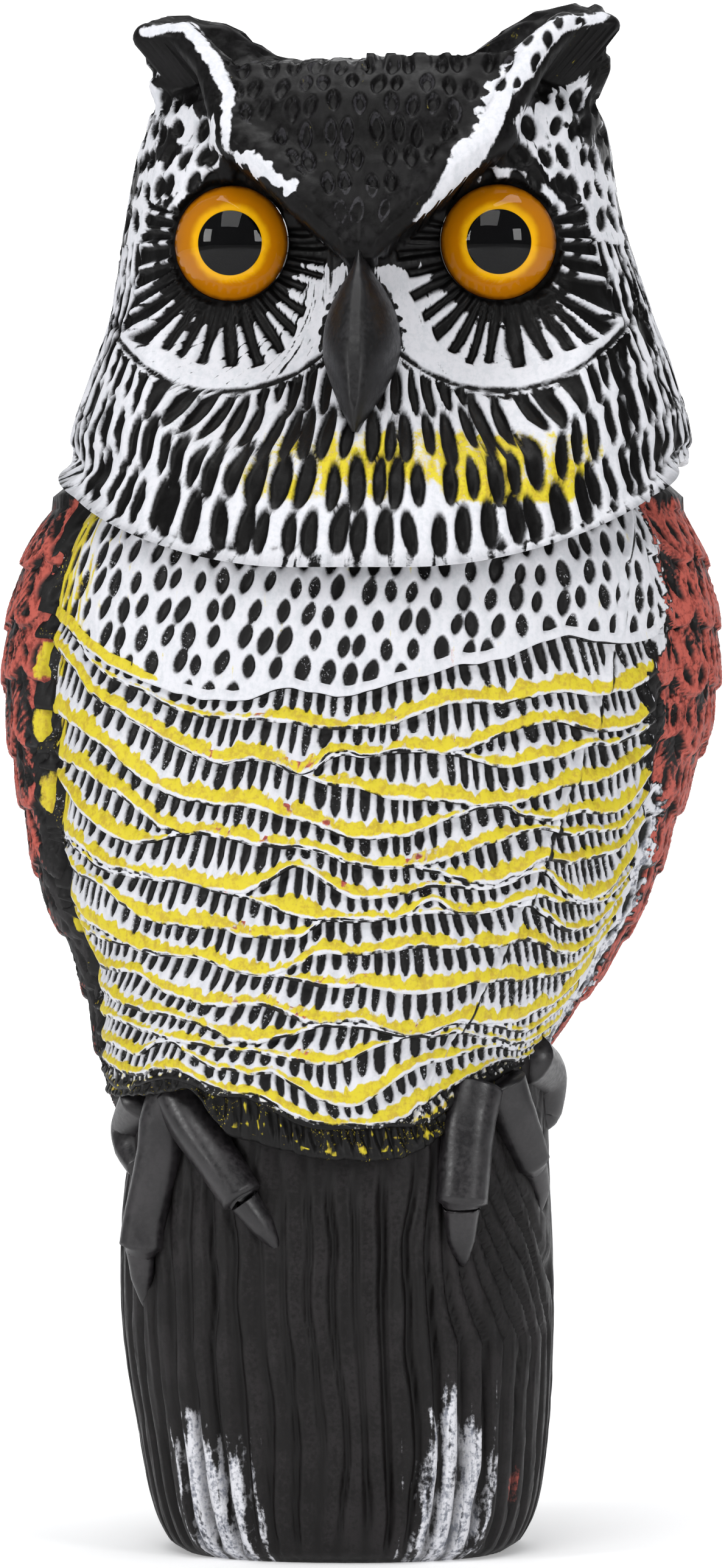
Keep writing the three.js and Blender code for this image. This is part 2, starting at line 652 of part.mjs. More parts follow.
function makeHead() {
  let solid = solidOf(ringSolid(headRings())).add(solidOf(beakGeometry()));
  for (const side of [-1, 1]) {
    const cutter = new THREE.Mesh(socketGeometry());
    placeEye(cutter, side);
    cutter.updateMatrix();
    cutter.geometry.applyMatrix4(cutter.matrix);
    solid = solid.subtract(solidOf(cutter.geometry));
  }
  return geometryOf(solid);
}

function piece(name, geometry, color, roughness) {
  const mesh = new THREE.Mesh(geometry, new THREE.MeshStandardMaterial({ color, roughness, metalness: 0 }));
  mesh.name = name;
  return mesh;
}

const owl = new THREE.Group();
owl.add(piece('body', makeBody(), 0x6f6a62, 0.6));

const turningHead = new THREE.Group();
turningHead.position.set(NECK_X, NECK_Y, 0);
turningHead.add(piece('head', makeHead(), 0x3a3839, 0.6));
for (const [name, side] of [['left_eye', 1], ['right_eye', -1]]) {
  const eye = piece(name, eyeGeometry(), 0xd08a12, 0.1);
  placeEye(eye, side);
  turningHead.add(eye);
}
owl.add(turningHead);

export default owl;
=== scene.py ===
import math

import bpy
import numpy as np
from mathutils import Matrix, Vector


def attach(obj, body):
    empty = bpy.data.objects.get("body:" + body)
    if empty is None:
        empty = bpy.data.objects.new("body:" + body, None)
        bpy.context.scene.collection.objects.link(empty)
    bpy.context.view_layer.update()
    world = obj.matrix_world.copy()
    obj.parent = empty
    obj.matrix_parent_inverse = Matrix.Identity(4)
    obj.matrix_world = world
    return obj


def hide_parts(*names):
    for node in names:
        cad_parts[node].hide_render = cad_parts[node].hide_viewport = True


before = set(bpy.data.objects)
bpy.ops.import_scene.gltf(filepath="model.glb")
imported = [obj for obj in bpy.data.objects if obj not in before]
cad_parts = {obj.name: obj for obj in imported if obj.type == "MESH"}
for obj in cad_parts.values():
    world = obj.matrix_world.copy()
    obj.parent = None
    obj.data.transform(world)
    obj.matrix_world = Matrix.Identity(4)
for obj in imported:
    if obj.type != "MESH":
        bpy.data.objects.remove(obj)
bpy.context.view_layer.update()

# Garden owl decoy. All lengths below are millimetres in the model's own frame, and angles are degrees:
# 0 faces the owl's front (-Y) and 90 its left side (+X). Meshes are turned to metres as they are made.

NECK_X, NECK_Y = 7.0, 25.0
NECK_RADIUS, NECK_HEIGHT = 29.0, 26.0
NECK_CLEARANCE, BEARING_GAP = 1.5, 0.3
SHOULDER_GAP, SWING_CLEARANCE, SKIRT_WALL = 1.8, 2.0, 3.4
EYE_DIAMETER, EYE_DOME = 31.0, 9.5

STUMP = [
    [0, 43, -42, 42, 0], [3, 47.5, -46.5, 46.5, 0], [12, 51.7, -50, 50.5, 0], [30, 55, -51.5, 53, -0.5],
    [60, 58.1, -52, 56, -2.1], [90, 57.8, -51, 58, -2.6], [108, 56.4, -50, 59, -2],
    [140, 55, -49, 60, -1.5],
]
STUMP_POWER = 2.3
BODY = [
    [88, 57, -55, 72, -2], [108, 58, -58, 74, -4.5], [124, 59, -63, 79, -7], [133, 61.5, -65.5, 82, -7],
    [142, 66, -67, 85, -4.6], [158, 73.8, -70, 89, -1.1], [175, 83.2, -72, 94, -0.5],
    [192, 88.3, -73, 98, 0.4], [208, 93.1, -73, 101, 1.5], [224, 97, -72, 103, 2.7],
    [241, 98.1, -71, 104, 3.3], [257, 96, -69.5, 103.5, 3.8], [266, 93.4, -68, 102, 4],
    [274, 90, -65, 100, 4.2], [279, 87.2, -62, 97, 4.8],
]
SHOULDER_START, SHOULDER_TOP = 279.0, 296.0
BODY_POWER = 2.15
WING_EDGE = 60.0
RIGHT_GROOVE, LEFT_GROOVE = (62.0, 71.0, 6.5), (68.0, 76.0, 4.0)
GROOVE_OPENS, GROOVE_OPENING, GROOVE_ON_BELLY, GROOVE_ON_WING = 222.0, 85.0, 26.0, 11.0
HEM_FRONT, HEM_RISE, HEM_TAIL, HEM_TAIL_ANGLE, HEM_LEAN = 106.0, 25.0, 90.0, 155.0, 8.0
TAIL_HALF_ANGLE, TAIL_TIP, TAIL_DEPTH = 34.0, 46.0, 9.0


def smooth(t):
    t = np.clip(t, 0, 1)
    return t * t * (3 - 2 * t)


def ease(a, b, width):
    """A smooth step from 0 to 1 as a rises past b, over the given width."""
    return smooth((a - b) / width)


def peak(v, at, width, power=2):
    return np.exp(-((v - at) / width) ** power)


def mix(a, b, t):
    return a + (b - a) * t


def around(deg):
    return (np.asarray(deg, float) + 540) % 360 - 180


def heading(deg):
    a = np.radians(deg)
    return np.sin(a), -np.cos(a)


def placed(x, y, z):
    """Points from their coordinates, where z may be one number for all."""
    return np.stack([x, y, z + 0 * x], -1)


def frac(v):
    return v - np.floor(v)


def hashed(*keys):
    """A repeatable number from 0 to 1 for each set of keys."""
    v = sum(np.asarray(k, float) * c for k, c in zip(keys, (12.9898, 78.233, 37.719, 4.581)))
    return frac(np.sin(v) * 43758.5453)


def wander(x, seed):
    """Smooth repeatable noise from -1 to 1 along one axis, one bump each unit."""
    i = np.floor(x)
    return 2 * mix(hashed(i, seed), hashed(i + 1, seed), smooth(x - i)) - 1


def wander2(x, y, seed):
    i = np.floor(y)
    return mix(wander(x, seed + i * 7.3), wander(x, seed + (i + 1) * 7.3), smooth(y - i))


def grain(a, b, *layers):
    """Layers of noise over two lengths, each of an amount, the size of its bumps along both, and a seed."""
    return sum(amount * wander2(a / wide, b / high, seed) for amount, wide, high, seed in layers)


def curve_at(spots, i, t):
    """A smooth curve through values or points: the share t of the way from spot i to the next one."""
    a, b, c, d = (spots[np.clip(i + k, 0, len(spots) - 1)] for k in (-1, 0, 1, 2))
    return b + 0.5 * t * (c - a + t * (2 * a - 5 * b + 4 * c - d + t * (3 * (b - c) + d - a)))


def section_at(table, z):
    table = np.asarray(table, float)
    z = np.asarray(z, float)
    last = len(table) - 1
    i = np.clip(np.searchsorted(table[:, 0], z, side="left") - 1, 0, last - 1)
    a, b = table[i], table[i + 1]
    before, after = table[np.maximum(i - 1, 0)], table[np.minimum(i + 2, last)]
    span = b[..., :1] - a[..., :1]
    t = np.clip((z[..., None] - a[..., :1]) / span, 0, 1)
    rise_in = (b - before) / (b[..., :1] - before[..., :1]) * span
    rise_out = (after - a) / (after[..., :1] - a[..., :1]) * span
    t2, t3 = t * t, t * t * t
    out = a * (2 * t3 - 3 * t2 + 1) + b * (3 * t2 - 2 * t3)
    out = out + rise_in * (t3 - 2 * t2 + t) + rise_out * (t3 - t2)
    return [out[..., k] for k in range(1, 5)]


def oval_radius(deg, half_x, half_y, power):
    x, y = heading(deg)
    return (np.abs(x / half_x) ** power + np.abs(y / half_y) ** power) ** (-1 / power)


def wing_edge(deg, z):
    """Where a wing meets the belly: further round the sides below than above."""
    low = ease(GROOVE_OPENS, z, GROOVE_OPENING)
    return np.where(np.asarray(deg) < 0, mix(*RIGHT_GROOVE[:2], low), mix(*LEFT_GROOVE[:2], low))


def groove_at(deg, z):
    past = np.abs(deg) - wing_edge(deg, z)
    belly = np.clip(1 + past / GROOVE_ON_BELLY, 0, 1) ** 2
    wing = np.clip(1 - past / GROOVE_ON_WING, 0, 1) ** 2
    return np.where(np.asarray(deg) < 0, RIGHT_GROOVE[2], LEFT_GROOVE[2]) * np.where(past < 0, belly, wing)


def body_point(deg, z, relief=0.0):
    deg = around(deg)
    closing = np.clip((z - SHOULDER_START) / (SHOULDER_TOP - SHOULDER_START), 0, 1)
    half_x, front, back, shift = section_at(BODY, np.minimum(z, SHOULDER_START))
    inward = np.sqrt(1 - closing ** 2)
    cut = groove_at(deg, z) * ease(z, 120, 40) * inward
    r = oval_radius(deg, half_x, (back - front) / 2, BODY_POWER) - cut - relief
    x, y = heading(deg)
    px = mix(NECK_X + x * NECK_RADIUS, shift + x * r, inward)
    py = mix(NECK_Y + y * NECK_RADIUS, (front + back) / 2 + y * r, inward)
    return placed(px, py, z)


def stump_point(deg, z, relief=0.0):
    half_x, front, back, shift = section_at(STUMP, z)
    from_back = 180 - np.abs(around(deg))
    tail = TAIL_DEPTH * ease(TAIL_HALF_ANGLE, from_back, 9) * ease(z, TAIL_TIP, 6)
    r = oval_radius(deg, half_x, (back - front) / 2, STUMP_POWER) + tail - relief
    x, y = heading(deg)
    return placed(shift + x * r, (front + back) / 2 + y * r, z)


def hem_height(deg):
    deg = around(deg)
    side = np.abs(deg)
    lean = HEM_LEAN * (1 - np.minimum(side / WING_EDGE, 1) ** 2)
    front = HEM_FRONT + HEM_RISE * smooth(np.abs(deg - lean) / WING_EDGE)
    tail = ease(side, WING_EDGE, HEM_TAIL_ANGLE - WING_EDGE)
    return np.where(side > WING_EDGE, mix(HEM_FRONT + HEM_RISE, HEM_TAIL, tail), front)


# Making meshes.

def grid_faces(rows, cols, closed):
    """Faces of a grid whose points run along each row. They face outwards when the rows run upwards
    and the points of a row run anticlockwise seen from above."""
    i, j = np.meshgrid(np.arange(rows - 1), np.arange(cols if closed else cols - 1), indexing="ij")
    k = (j + 1) % cols
    return np.stack([i * cols + j, i * cols + k, (i + 1) * cols + k, (i + 1) * cols + j], -1).reshape(-1, 4)


def make_mesh(name, points, faces, attributes=None):
    """Points in millimetres, faces of four corners or three and a repeat, and attributes by point."""
    points = np.asarray(points, float).reshape(-1, 3) * 0.001
    faces = np.asarray(faces, int).reshape(-1, 4)
    tri = faces[:, 3] == faces[:, 2]
    loops = np.where(np.repeat(tri[:, None], 4, 1) & (np.arange(4) == 3), -1, faces).reshape(-1)
    loops = loops[loops >= 0]
    sizes = np.where(tri, 3, 4)
    starts = np.concatenate([[0], np.cumsum(sizes)[:-1]])
    mesh = bpy.data.meshes.new(name)
    mesh.vertices.add(len(points))
    mesh.vertices.foreach_set("co", points.astype(np.float32).reshape(-1))
    mesh.loops.add(len(loops))
    mesh.loops.foreach_set("vertex_index", loops.astype(np.int32))
    mesh.polygons.add(len(faces))
    mesh.polygons.foreach_set("loop_start", starts.astype(np.int32))
    mesh.polygons.foreach_set("loop_total", sizes.astype(np.int32))
    mesh.update(calc_edges=True)
    mesh.validate()
    mesh.polygons.foreach_set("use_smooth", np.full(len(mesh.polygons), True))
    for key, values in (attributes or {}).items():
        layer = mesh.attributes.new(key, "FLOAT", "POINT")
        layer.data.foreach_set("value", np.asarray(values, np.float32).reshape(-1))
    obj = bpy.data.objects.new(name, mesh)
    bpy.context.collection.objects.link(obj)
    return obj


# The belly: feather rows. Each line below is the lower lip of one row, as heights every five degrees
# from -65 to 65, from the chest line down to the hem. Where two lines meet, the rows run together.
LIP_ANGLES = np.arange(-65, 66, 5)
LIPS = [
    [246, 246, 245.9, 243.8, 239.1, 235.4, 232.1, 229.8, 227.6, 226.8, 227.3, 229.7, 229.1, 227.9,
     228.8, 231.2, 233.2, 235.9, 236.7, 238.8, 241.9, 243.7, 242.5, 242.1, 242.9, 244.4, 245.4],
    [245.8, 245.8, 245.8, 242.8, 236.7, 232.5, 229.7, 225.8, 223.4, 222.2, 221.8, 221.2, 220.3, 219.5,
     219.7, 221.1, 223.6, 226.3, 225.8, 226.5, 228.7, 229.3, 228.6, 229.3, 231.4, 234.4, 235.4],
    [237.8, 237.8, 237.8, 234.7, 228.2, 224.8, 220.7, 216.6, 213.2, 210.6, 211.6, 210.5, 207.3, 213.6,
     212.1, 213.1, 213.6, 213.1, 215.5, 218.8, 221, 221, 219.2, 219.1, 220.7, 224.5, 227.2],
    [237.8, 237.8, 237.8, 234.7, 228.2, 224.8, 220.7, 216.6, 213.2, 210.5, 211.4, 210.3, 207.3, 211.8,
     212, 212.6, 213.3, 212.7, 210.8, 209.5, 210.7, 212.2, 215.1, 215.6, 217.4, 220.6, 224],
    [237.8, 237.8, 237.8, 234.7, 228.2, 224.8, 220.7, 216.6, 213.2, 210.5, 211.4, 210.3, 207.3, 205.1,
     204, 201.6, 200.7, 200.8, 199.5, 199.6, 201.2, 203.6, 205, 206.6, 209.1, 212.2, 219],
    [221.5, 221.5, 221.5, 220.2, 216.6, 212.7, 207.2, 203.2, 200.9, 199.7, 199.1, 197.7, 195.9, 193.3,
     191.1, 191, 192.2, 195.3, 198, 198.8, 196.7, 195.8, 197.5, 197.2, 197.6, 201.1, 208.3],
    [210.1, 210.1, 210.1, 209.4, 206.6, 203, 197.9, 193.4, 192.2, 191.7, 190, 188.9, 188.3, 186.6,
     184.2, 183.4, 183.5, 185.1, 187.6, 190.1, 192.8, 192.9, 191.6, 192.4, 193.2, 194.3, 200.5],
    [204.4, 204.4, 203.3, 198.1, 194, 191, 189.6, 190.7, 192, 191.5, 189.9, 188.8, 188.2, 186.5,
     184, 183.2, 183.2, 182, 179.8, 179.1, 181.3, 185.1, 184.2, 185.4, 186.5, 187.9, 192.4],
    [191.7, 191, 190, 187.9, 184.5, 182.7, 181.6, 180.2, 179.1, 177.2, 176.6, 179.8, 183.7, 179.8,
     176, 175.8, 177, 178.3, 177.8, 177.8, 179.6, 182.6, 177.8, 174.6, 174.8, 177, 182.4],
    [190.1, 189.9, 188.6, 186.2, 182.8, 181.1, 180.5, 179.6, 178.7, 177, 175.5, 173.1, 170.7, 169.8,
     169.6, 169.7, 171.2, 174.9, 171.4, 171.8, 173.5, 175.7, 174.2, 173.4, 173.4, 174.4, 178.4],
    [186.3, 186.3, 182.3, 180.1, 178.2, 173.2, 169.8, 168.4, 167.9, 167.6, 165.8, 164.9, 165.4, 169,
     169.3, 169.4, 170.9, 171.8, 171, 171.4, 173, 172.8, 169.1, 166.7, 167, 168.7, 173.5],
    [174.1, 173, 169, 167.1, 164.7, 162, 160.6, 160.2, 160, 157.8, 155.9, 155.3, 158.1, 161.2,
     160.5, 161, 162.3, 162.7, 162.4, 162.5, 163, 164.1, 163.3, 160.6, 160.7, 162.2, 166.8],
    [171.5, 167.4, 165.8, 164.4, 163.3, 161.6, 160.3, 160, 159.8, 157.6, 155.9, 154.8, 154.3, 152.2,
     152.4, 152.1, 151, 150.6, 151.3, 152.8, 153.6, 153.7, 154.1, 154.5, 155.3, 156.2, 161.1],
    [165.8, 160.5, 156.9, 156.2, 155.8, 155.2, 151.9, 149.6, 148.1, 147.3, 147.4, 147.4, 145.2, 142.8,
     143.3, 143.2, 141.1, 139.6, 140.5, 142.4, 142.6, 142.2, 142.4, 143.9, 145.7, 147.1, 151.4],
    [152.6, 151.2, 149.8, 148.3, 146.5, 145.7, 145.2, 144.2, 142.9, 140.4, 138.2, 137.6, 139.1, 141.1,
     142, 141.6, 140.2, 139.2, 140.1, 141.9, 142, 141.5, 140.7, 139.5, 139.9, 142.1, 145.1],
    [143.8, 144.1, 143.5, 142.8, 141.8, 140.6, 139.2, 138.2, 137.5, 136.3, 135.6, 135, 134, 132.8,
     132.4, 133.3, 136.5, 138.4, 138.9, 139.8, 139.5, 138.4, 137.6, 136.8, 136.5, 137.1, 139.2],
    [137.4, 136.8, 136.2, 135.6, 134.8, 134.1, 136.8, 137.1, 134.6, 131.6, 130.2, 129.7, 129.6, 125.2,
     122.1, 121.2, 123.1, 127.5, 131, 132.7, 134.3, 135.5, 135.8, 135.3, 134.5, 134.7, 135.8],
    [131.3, 130.6, 129.8, 129.2, 128.6, 128.8, 130.1, 130.4, 128.8, 125.8, 124.5, 123.8, 120.3, 117,
     116.2, 115.9, 116.2, 116.9, 120.2, 123.2, 126.1, 128.5, 130.7, 131.4, 131.7, 132.1, 133.1],
    [126.4, 125.1, 124.5, 124.3, 124.9, 126.1, 127.5, 127.4, 126.1, 124, 123.2, 122.3, 118.1, 115.7,
     115.1, 114.8, 115, 115.4, 116.1, 117.5, 120.6, 123.7, 125.9, 127.2, 128.6, 129.8, 131],
    [122.5, 122.4, 122.3, 122.5, 122.9, 123.3, 124, 124.6, 124.5, 114.6, 112.2, 110.6, 109.1, 107.9,
     107.2, 107, 106.8, 107.1, 109, 112, 115.7, 118.3, 120.7, 122.9, 125.1, 127.3, 129.6],
]
BELLY_COLUMNS, CHEST_LINES, BELLY_SETTLES, BELLY_OVERLAP, HEM_ROWS = 398, 50, 5, 3, 2
ROW_LINES = [-1.0, 0.0, 0.05, 0.13, 0.24, 0.37, 0.5, 0.64, 0.8, 0.97]
LIP_STEP = 2.6
COMB_PITCH, SEAM_WIDTH = 3.7, 0.6
SEAM = [[283, 61], [262, 52], [240, 49], [215, 45], [190, 41], [165, 37], [145, 33], [128, 29], [118, 26]]


def lip_table():
    """The lips from the hem up, with both ends carried on a little further round the sides."""
    lips = np.asarray(LIPS[::-1], float)
    for i in (2, 1, 0):
        lips[:, i] = np.maximum(lips[:, i], lips[:, i + 1] + 0.7 * (lips[:, i + 1] - lips[:, i + 2]))
    first = [lips[:, :1] + (lips[:, :1] - lips[:, 1:2]) * k for k in (1.6, 0.8)]
    last = [lips[:, -1:] + (lips[:, -1:] - lips[:, -2:-1]) * k for k in (0.8, 1.6)]
    return np.concatenate(first + [lips] + last, 1)


LIP_TABLE = lip_table()


def lip_height(row, deg):
    """Row 0 is the hem. A curve through the heights, with the small unevenness of hand carving."""
    heights = LIP_TABLE[row]
    x = np.clip((deg - LIP_ANGLES[0] + 10) / 5.0, 0, len(heights) - 1.0001)
    i = x.astype(int)
    return curve_at(heights, i, x - i) + 0.35 * wander(deg / 2.6, row * 3.1 + 5)


def seam_angle(z):
    table = np.asarray(SEAM, float)[::-1]
    return np.interp(z, table[:, 0], table[:, 1])


def slot_field(x, y, pitch_x, pitch_y, half_w, half_h, seed, power=2.6, jitter=0.15, slant=0.0, lean=0.15):
    """Slots in staggered rows: how far inside the nearest one each point is, in millimetres."""
    best = np.full(np.shape(x), -9.0)
    row0 = np.floor(y / pitch_y)
    for dr in (-1, 0, 1):
        row = row0 + dr
        off = np.where(row % 2 == 0, 0.0, 0.5)
        col0 = np.floor(x / pitch_x - off)
        for dc in (-1, 0, 1):
            col = col0 + dc
            cx = (col + 0.5 + off + (hashed(row, col, seed) - 0.5) * 2 * jitter) * pitch_x
            cy = (row + 0.5 + (hashed(row, col, seed + 3.7) - 0.5) * jitter) * pitch_y
            size = 0.84 + 0.32 * hashed(row, col, seed + 9.1)
            tilt = slant + (hashed(row, col, seed + 5.3) - 0.5) * 2 * lean
            dy = np.abs(y - cy) / (half_h * size)
            dx = np.abs(x - cx - tilt * (y - cy)) / (half_w * size)
            best = np.maximum(best, (1 - (dx ** power + dy ** power) ** (1 / power)) * half_w)
    return best


# The rust layer is red-brown paint on the body, and painted highlights on the head.
PAINTS = ("white", "yellow", "rust", "dark")
# A paint field that is surely bare and one that surely covers, and the least depth of any carving.
BARE, FULL, LEAST = -3.0, 3.0, 0.02
# Radii that turn an angle in radians into a length along each surface, and millimetres to a degree
# beside the wings' grooves.
CHEST_ARC, BELLY_ARC, WING_ARC, STUMP_ARC, HEAD_ARC = 82, 80, 92, 57, 95
GROOVE_STEP, EDGE_STEP = 1.35, 1.4
# A line that is tucked in under the feathers' lower edge: its share of the way up, its rise and its depth.
UNDER, TUCK_RISE, TUCK_DEPTH = -1.0, 1.5, 3.0
SHOULDER_TURNS = (12, 26, 42, 60, 78, 90)


class Sheet:
    """Lines of points with paint fields in millimetres: above zero a paint covers, below zero it doesn't."""

    def __init__(self):
        self.lines, self.paint = [], {k: [] for k in PAINTS}

    def add(self, points, **paint):
        self.lines.append(points)
        for key in PAINTS:
            value = np.asarray(paint.get(key, BARE), float)
            self.paint[key].append(np.broadcast_to(value, points.shape[:1]))

    def mesh(self, name, closed=False):
        points = np.stack(self.lines)
        paint = {k: np.stack(v) for k, v in self.paint.items()}
        return make_mesh(name, points, grid_faces(*points.shape[:2], closed), paint)


def add_shoulders(sheet, count, column_angle, relief, paint):
    """Lines over the rounded shoulders, from the top of the feathers up to the neck."""
    for turn in SHOULDER_TURNS:
        z = np.full(count, mix(SHOULDER_START, SHOULDER_TOP, math.sin(math.radians(turn))))
        sheet.add(body_point(column_angle(z), z, relief), **paint(turn))


# Yellow dabs down the front edge of the owl's right wing: height and half height.
YELLOW_PATCHES = [(238, 4.6), (221, 5.6), (202, 7.5), (168, 4.5)]


def yellow_patches(z):
    return sum(peak(z, at, size, 4) for at, size in YELLOW_PATCHES)


def feather_field(x, z, pitch_x, pitch_z, drop, seed):
    """Overlapping feathers with round tips, upper rows over lower ones: how far inside its own feather each
    point is, how far up from its tip, how far across it from -1 to 1, and a number for the feather."""
    inside = np.full(np.shape(x), -9.0)
    up, across, mark = np.zeros_like(inside), np.zeros_like(inside), np.zeros_like(inside)
    row0 = np.floor(z / pitch_z)
    half = 0.64 * pitch_x
    for dr in (1, 0, -1, -2):
        row = row0 + dr
        off = np.where(row % 2 == 0, 0.0, 0.5)
        col0 = np.floor(x / pitch_x - off)
        here = np.full(np.shape(x), -9.0)
        parts = [np.zeros_like(inside) for _ in range(3)]
        for dc in (-1, 0, 1):
            col = col0 + dc
            cx = (col + 0.5 + off + 0.16 * (hashed(row, col, seed) - 0.5)) * pitch_x
            tip = (row + 0.3 * (hashed(row, col, seed + 2.0) - 0.5)) * pitch_z
            share = (x - cx) / half
            bound = drop * np.abs(share) ** 2.4
            slope = drop * 2.4 * np.abs(share) ** 1.4 / half
            e = np.where(np.abs(share) < 1.25, (z - tip - bound) / np.sqrt(1 + slope ** 2), -9.0)
            better = e > here
            here = np.where(better, e, here)
            for p, v in zip(parts, (z - tip, share, hashed(row, col, seed + 4.0))):
                p[...] = np.where(better, v, p)
        free = (inside < 0) & (here > 0)
        inside = np.where(free, here, inside)
        for target, p in zip((up, across, mark), parts):
            target[...] = np.where(free, p, target)
    return np.maximum(inside, 0), up, across, mark


WING_LAP = 8.5


def painted_edge(z):
    """Where the wing's look starts on the owl's left: high up it laps over onto the belly."""
    return wing_edge(1.0, z) - WING_LAP * ease(z, 192, 40)


def wing_finish(deg, z):
    """Relief and paints of the wings, at angles counted from the front round by the owl's left, 0 to 360."""
    arc = np.radians(deg - 180) * WING_ARC
    e, up, across, mark = feather_field(arc, z, 15.0, 16.5, 9.0, 23.0)
    edge_in = np.minimum(deg - painted_edge(z), 360 - wing_edge(-1.0, z) - deg) * EDGE_STEP
    pit = slot_field(arc + 0.15 * z, z + 3, 6.0, 8.25, 1.6, 3.5, 29.0, power=1.7, jitter=0.25, lean=0.35)
    pit = np.minimum(pit, (e - 2.4) * 0.8)
    barbs = np.sin((up * 0.9 + np.abs(across) * 9.0) * 2.6 + mark * 6)
    relief = 0.4 + 1.5 * smooth(up / 18.0) + 0.4 * ease(0.9, e, 0.9)
    relief += 0.85 * smooth((pit + 0.3) / 0.8) + 0.14 * barbs + grain(arc, z, (0.14, 2, 3, 9))
    left = deg < 180
    low = ease(192, z, 30)
    front = ease(125, np.minimum(deg, 360 - deg), 30)
    blotch = grain(arc, z, (1, 7, 9, 3))
    cover = mix(-1.2, np.where(left, 0.6 + 0.3 * blotch, 0.15 + 0.5 * blotch - 1.5 * low), front)
    rust = cover + 1.1 * ease(3.4, e, 2.0) - 0.9 * ease(e, 9, 6) + 0.35 * barbs
    # Dry-brushed white along the front edge on the owl's left, over a bare black wedge.
    reach = mix(6.0, 8.0, ease(210, z, 60)) * ease(214, z, 12) + 8.0 * ease(z, 236, 8)
    hairs = grain(arc, z, (1, 3, 0.8, 91), (0.6, 1.2, 2, 93))
    white = np.where(left, (reach - edge_in) * 0.45 - 0.5 + 1.6 * hairs, BARE)
    wedge = left * (6.0 * peak(z, 222, 11) + 1.2 * wander(z / 2.4, 97.0) - edge_in)
    # The owl's right: a bare front edge with yellow dabs low down, and red-brown up to the edge above.
    lower = ease(228, z, 8)
    bare = ~left * lower * (8.5 + 1.5 * blotch - edge_in)
    rust = rust - 2.5 * smooth(wedge) - 2.0 * smooth(bare)
    rust += ~left * 2.2 * (1 - lower) * ease(9, edge_in, 4)
    rust = np.where(white > -0.3, BARE, rust)
    wide = mix(2.4, 4.6, ease(z, 178, 16))
    yellow = 2.6 * yellow_patches(z) - 0.7 - 1.6 * np.maximum(edge_in / wide, 0.6) ** 3
    yellow = np.where(~left & (z < 250), yellow + grain(arc, z, (0.9, 1.6, 2.2, 95)), BARE)
    dark = np.where(yellow > -0.2, -1.0, np.maximum(pit, 0.35 - e))
    return relief, dict(white=white, yellow=yellow, rust=rust, dark=dark)


def strip_yellow(deg, z):
    """The yellow dabs where they run over the wing's groove onto the belly, on the owl's right."""
    arc = (-deg - wing_edge(deg, z)) * GROOVE_STEP
    dabs = np.minimum.reduce([2.2 * yellow_patches(z) - 0.9, 6.6 + arc, -1.4 - arc])
    return np.where(deg < 0, dabs, BARE)


def side_dark(deg, z):
    """Black in the groove along the wings, with a ragged border on the owl's left side."""
    arc = (np.abs(deg) - np.where(deg < 0, wing_edge(-1.0, z), painted_edge(z))) * GROOVE_STEP
    ragged = 0.8 + grain(z, deg, (2.2, 3, 3, 71), (1.6, 0.9, 2, 75))
    ragged = ragged + 3.0 * peak(z, 226, 9) - 3.0 * ease(z, 238, 8)
    right = np.where(strip_yellow(deg, z) > 0, BARE, arc + mix(5.0, 1.0, ease(z, 222, 12)))
    return np.where(deg < 0, right, arc + ragged)


def seam_ridge(deg, z):
    return peak(deg, seam_angle(z), SEAM_WIDTH)


def belly_dark(deg, z, slots):
    """Black in the slots and in the wings' grooves, and a broken painted shadow beside the raised moulding
    seam.
    """
    # Painted shadow of the raised seam: a broken black line one degree further round the owl's left.
    line = 0.25 - 1.3 * np.abs(deg - seam_angle(z) - 1.0) + 0.6 * wander(z / 3.0, 99.0)
    return np.maximum.reduce([slots - 2.5 * seam_ridge(deg, z), line, side_dark(deg, z)])


def belly_angle(c, z):
    """The angles of the columns c, which run from -1 to 1 and end a little past the wings' grooves."""
    return np.where(c < 0, c * (wing_edge(-1.0, z) + BELLY_OVERLAP), c * (wing_edge(1.0, z) + BELLY_OVERLAP))


def settle_row(c, row, share):
    """A row's columns at a share of its height: their angles, both lips' heights and their own."""
    z = np.full(c.shape, 130.0 + row * 5.5)
    for _ in range(BELLY_SETTLES):
        deg = belly_angle(c, z)
        low = lip_height(row, deg)
        high = np.maximum(lip_height(row + 1, deg), low + 0.02)
        z = mix(low, high, share)
    return deg, low, high, z


def add_belly_line(sheet, deg, z, drop, relief, paint):
    """One line of the belly, with the wing's look where the wing laps over it."""
    over = np.nonzero(deg > painted_edge(z))[0]
    wing_relief, wing_paint = wing_finish(deg[over], z[over])
    share = ease(deg[over], painted_edge(z[over]), 0.9)
    sink = 1.4 * ease(deg[over] - wing_edge(1.0, z[over]), 1.6, 0.8)
    relief[over] = mix(relief[over], wing_relief, share) + sink
    for key in PAINTS:
        paint[key] = np.array(np.broadcast_to(paint.get(key, BARE), deg.shape), float)
        paint[key][over] = wing_paint[key]
    sheet.add(body_point(deg, z - drop, np.maximum(relief, LEAST)), **paint)


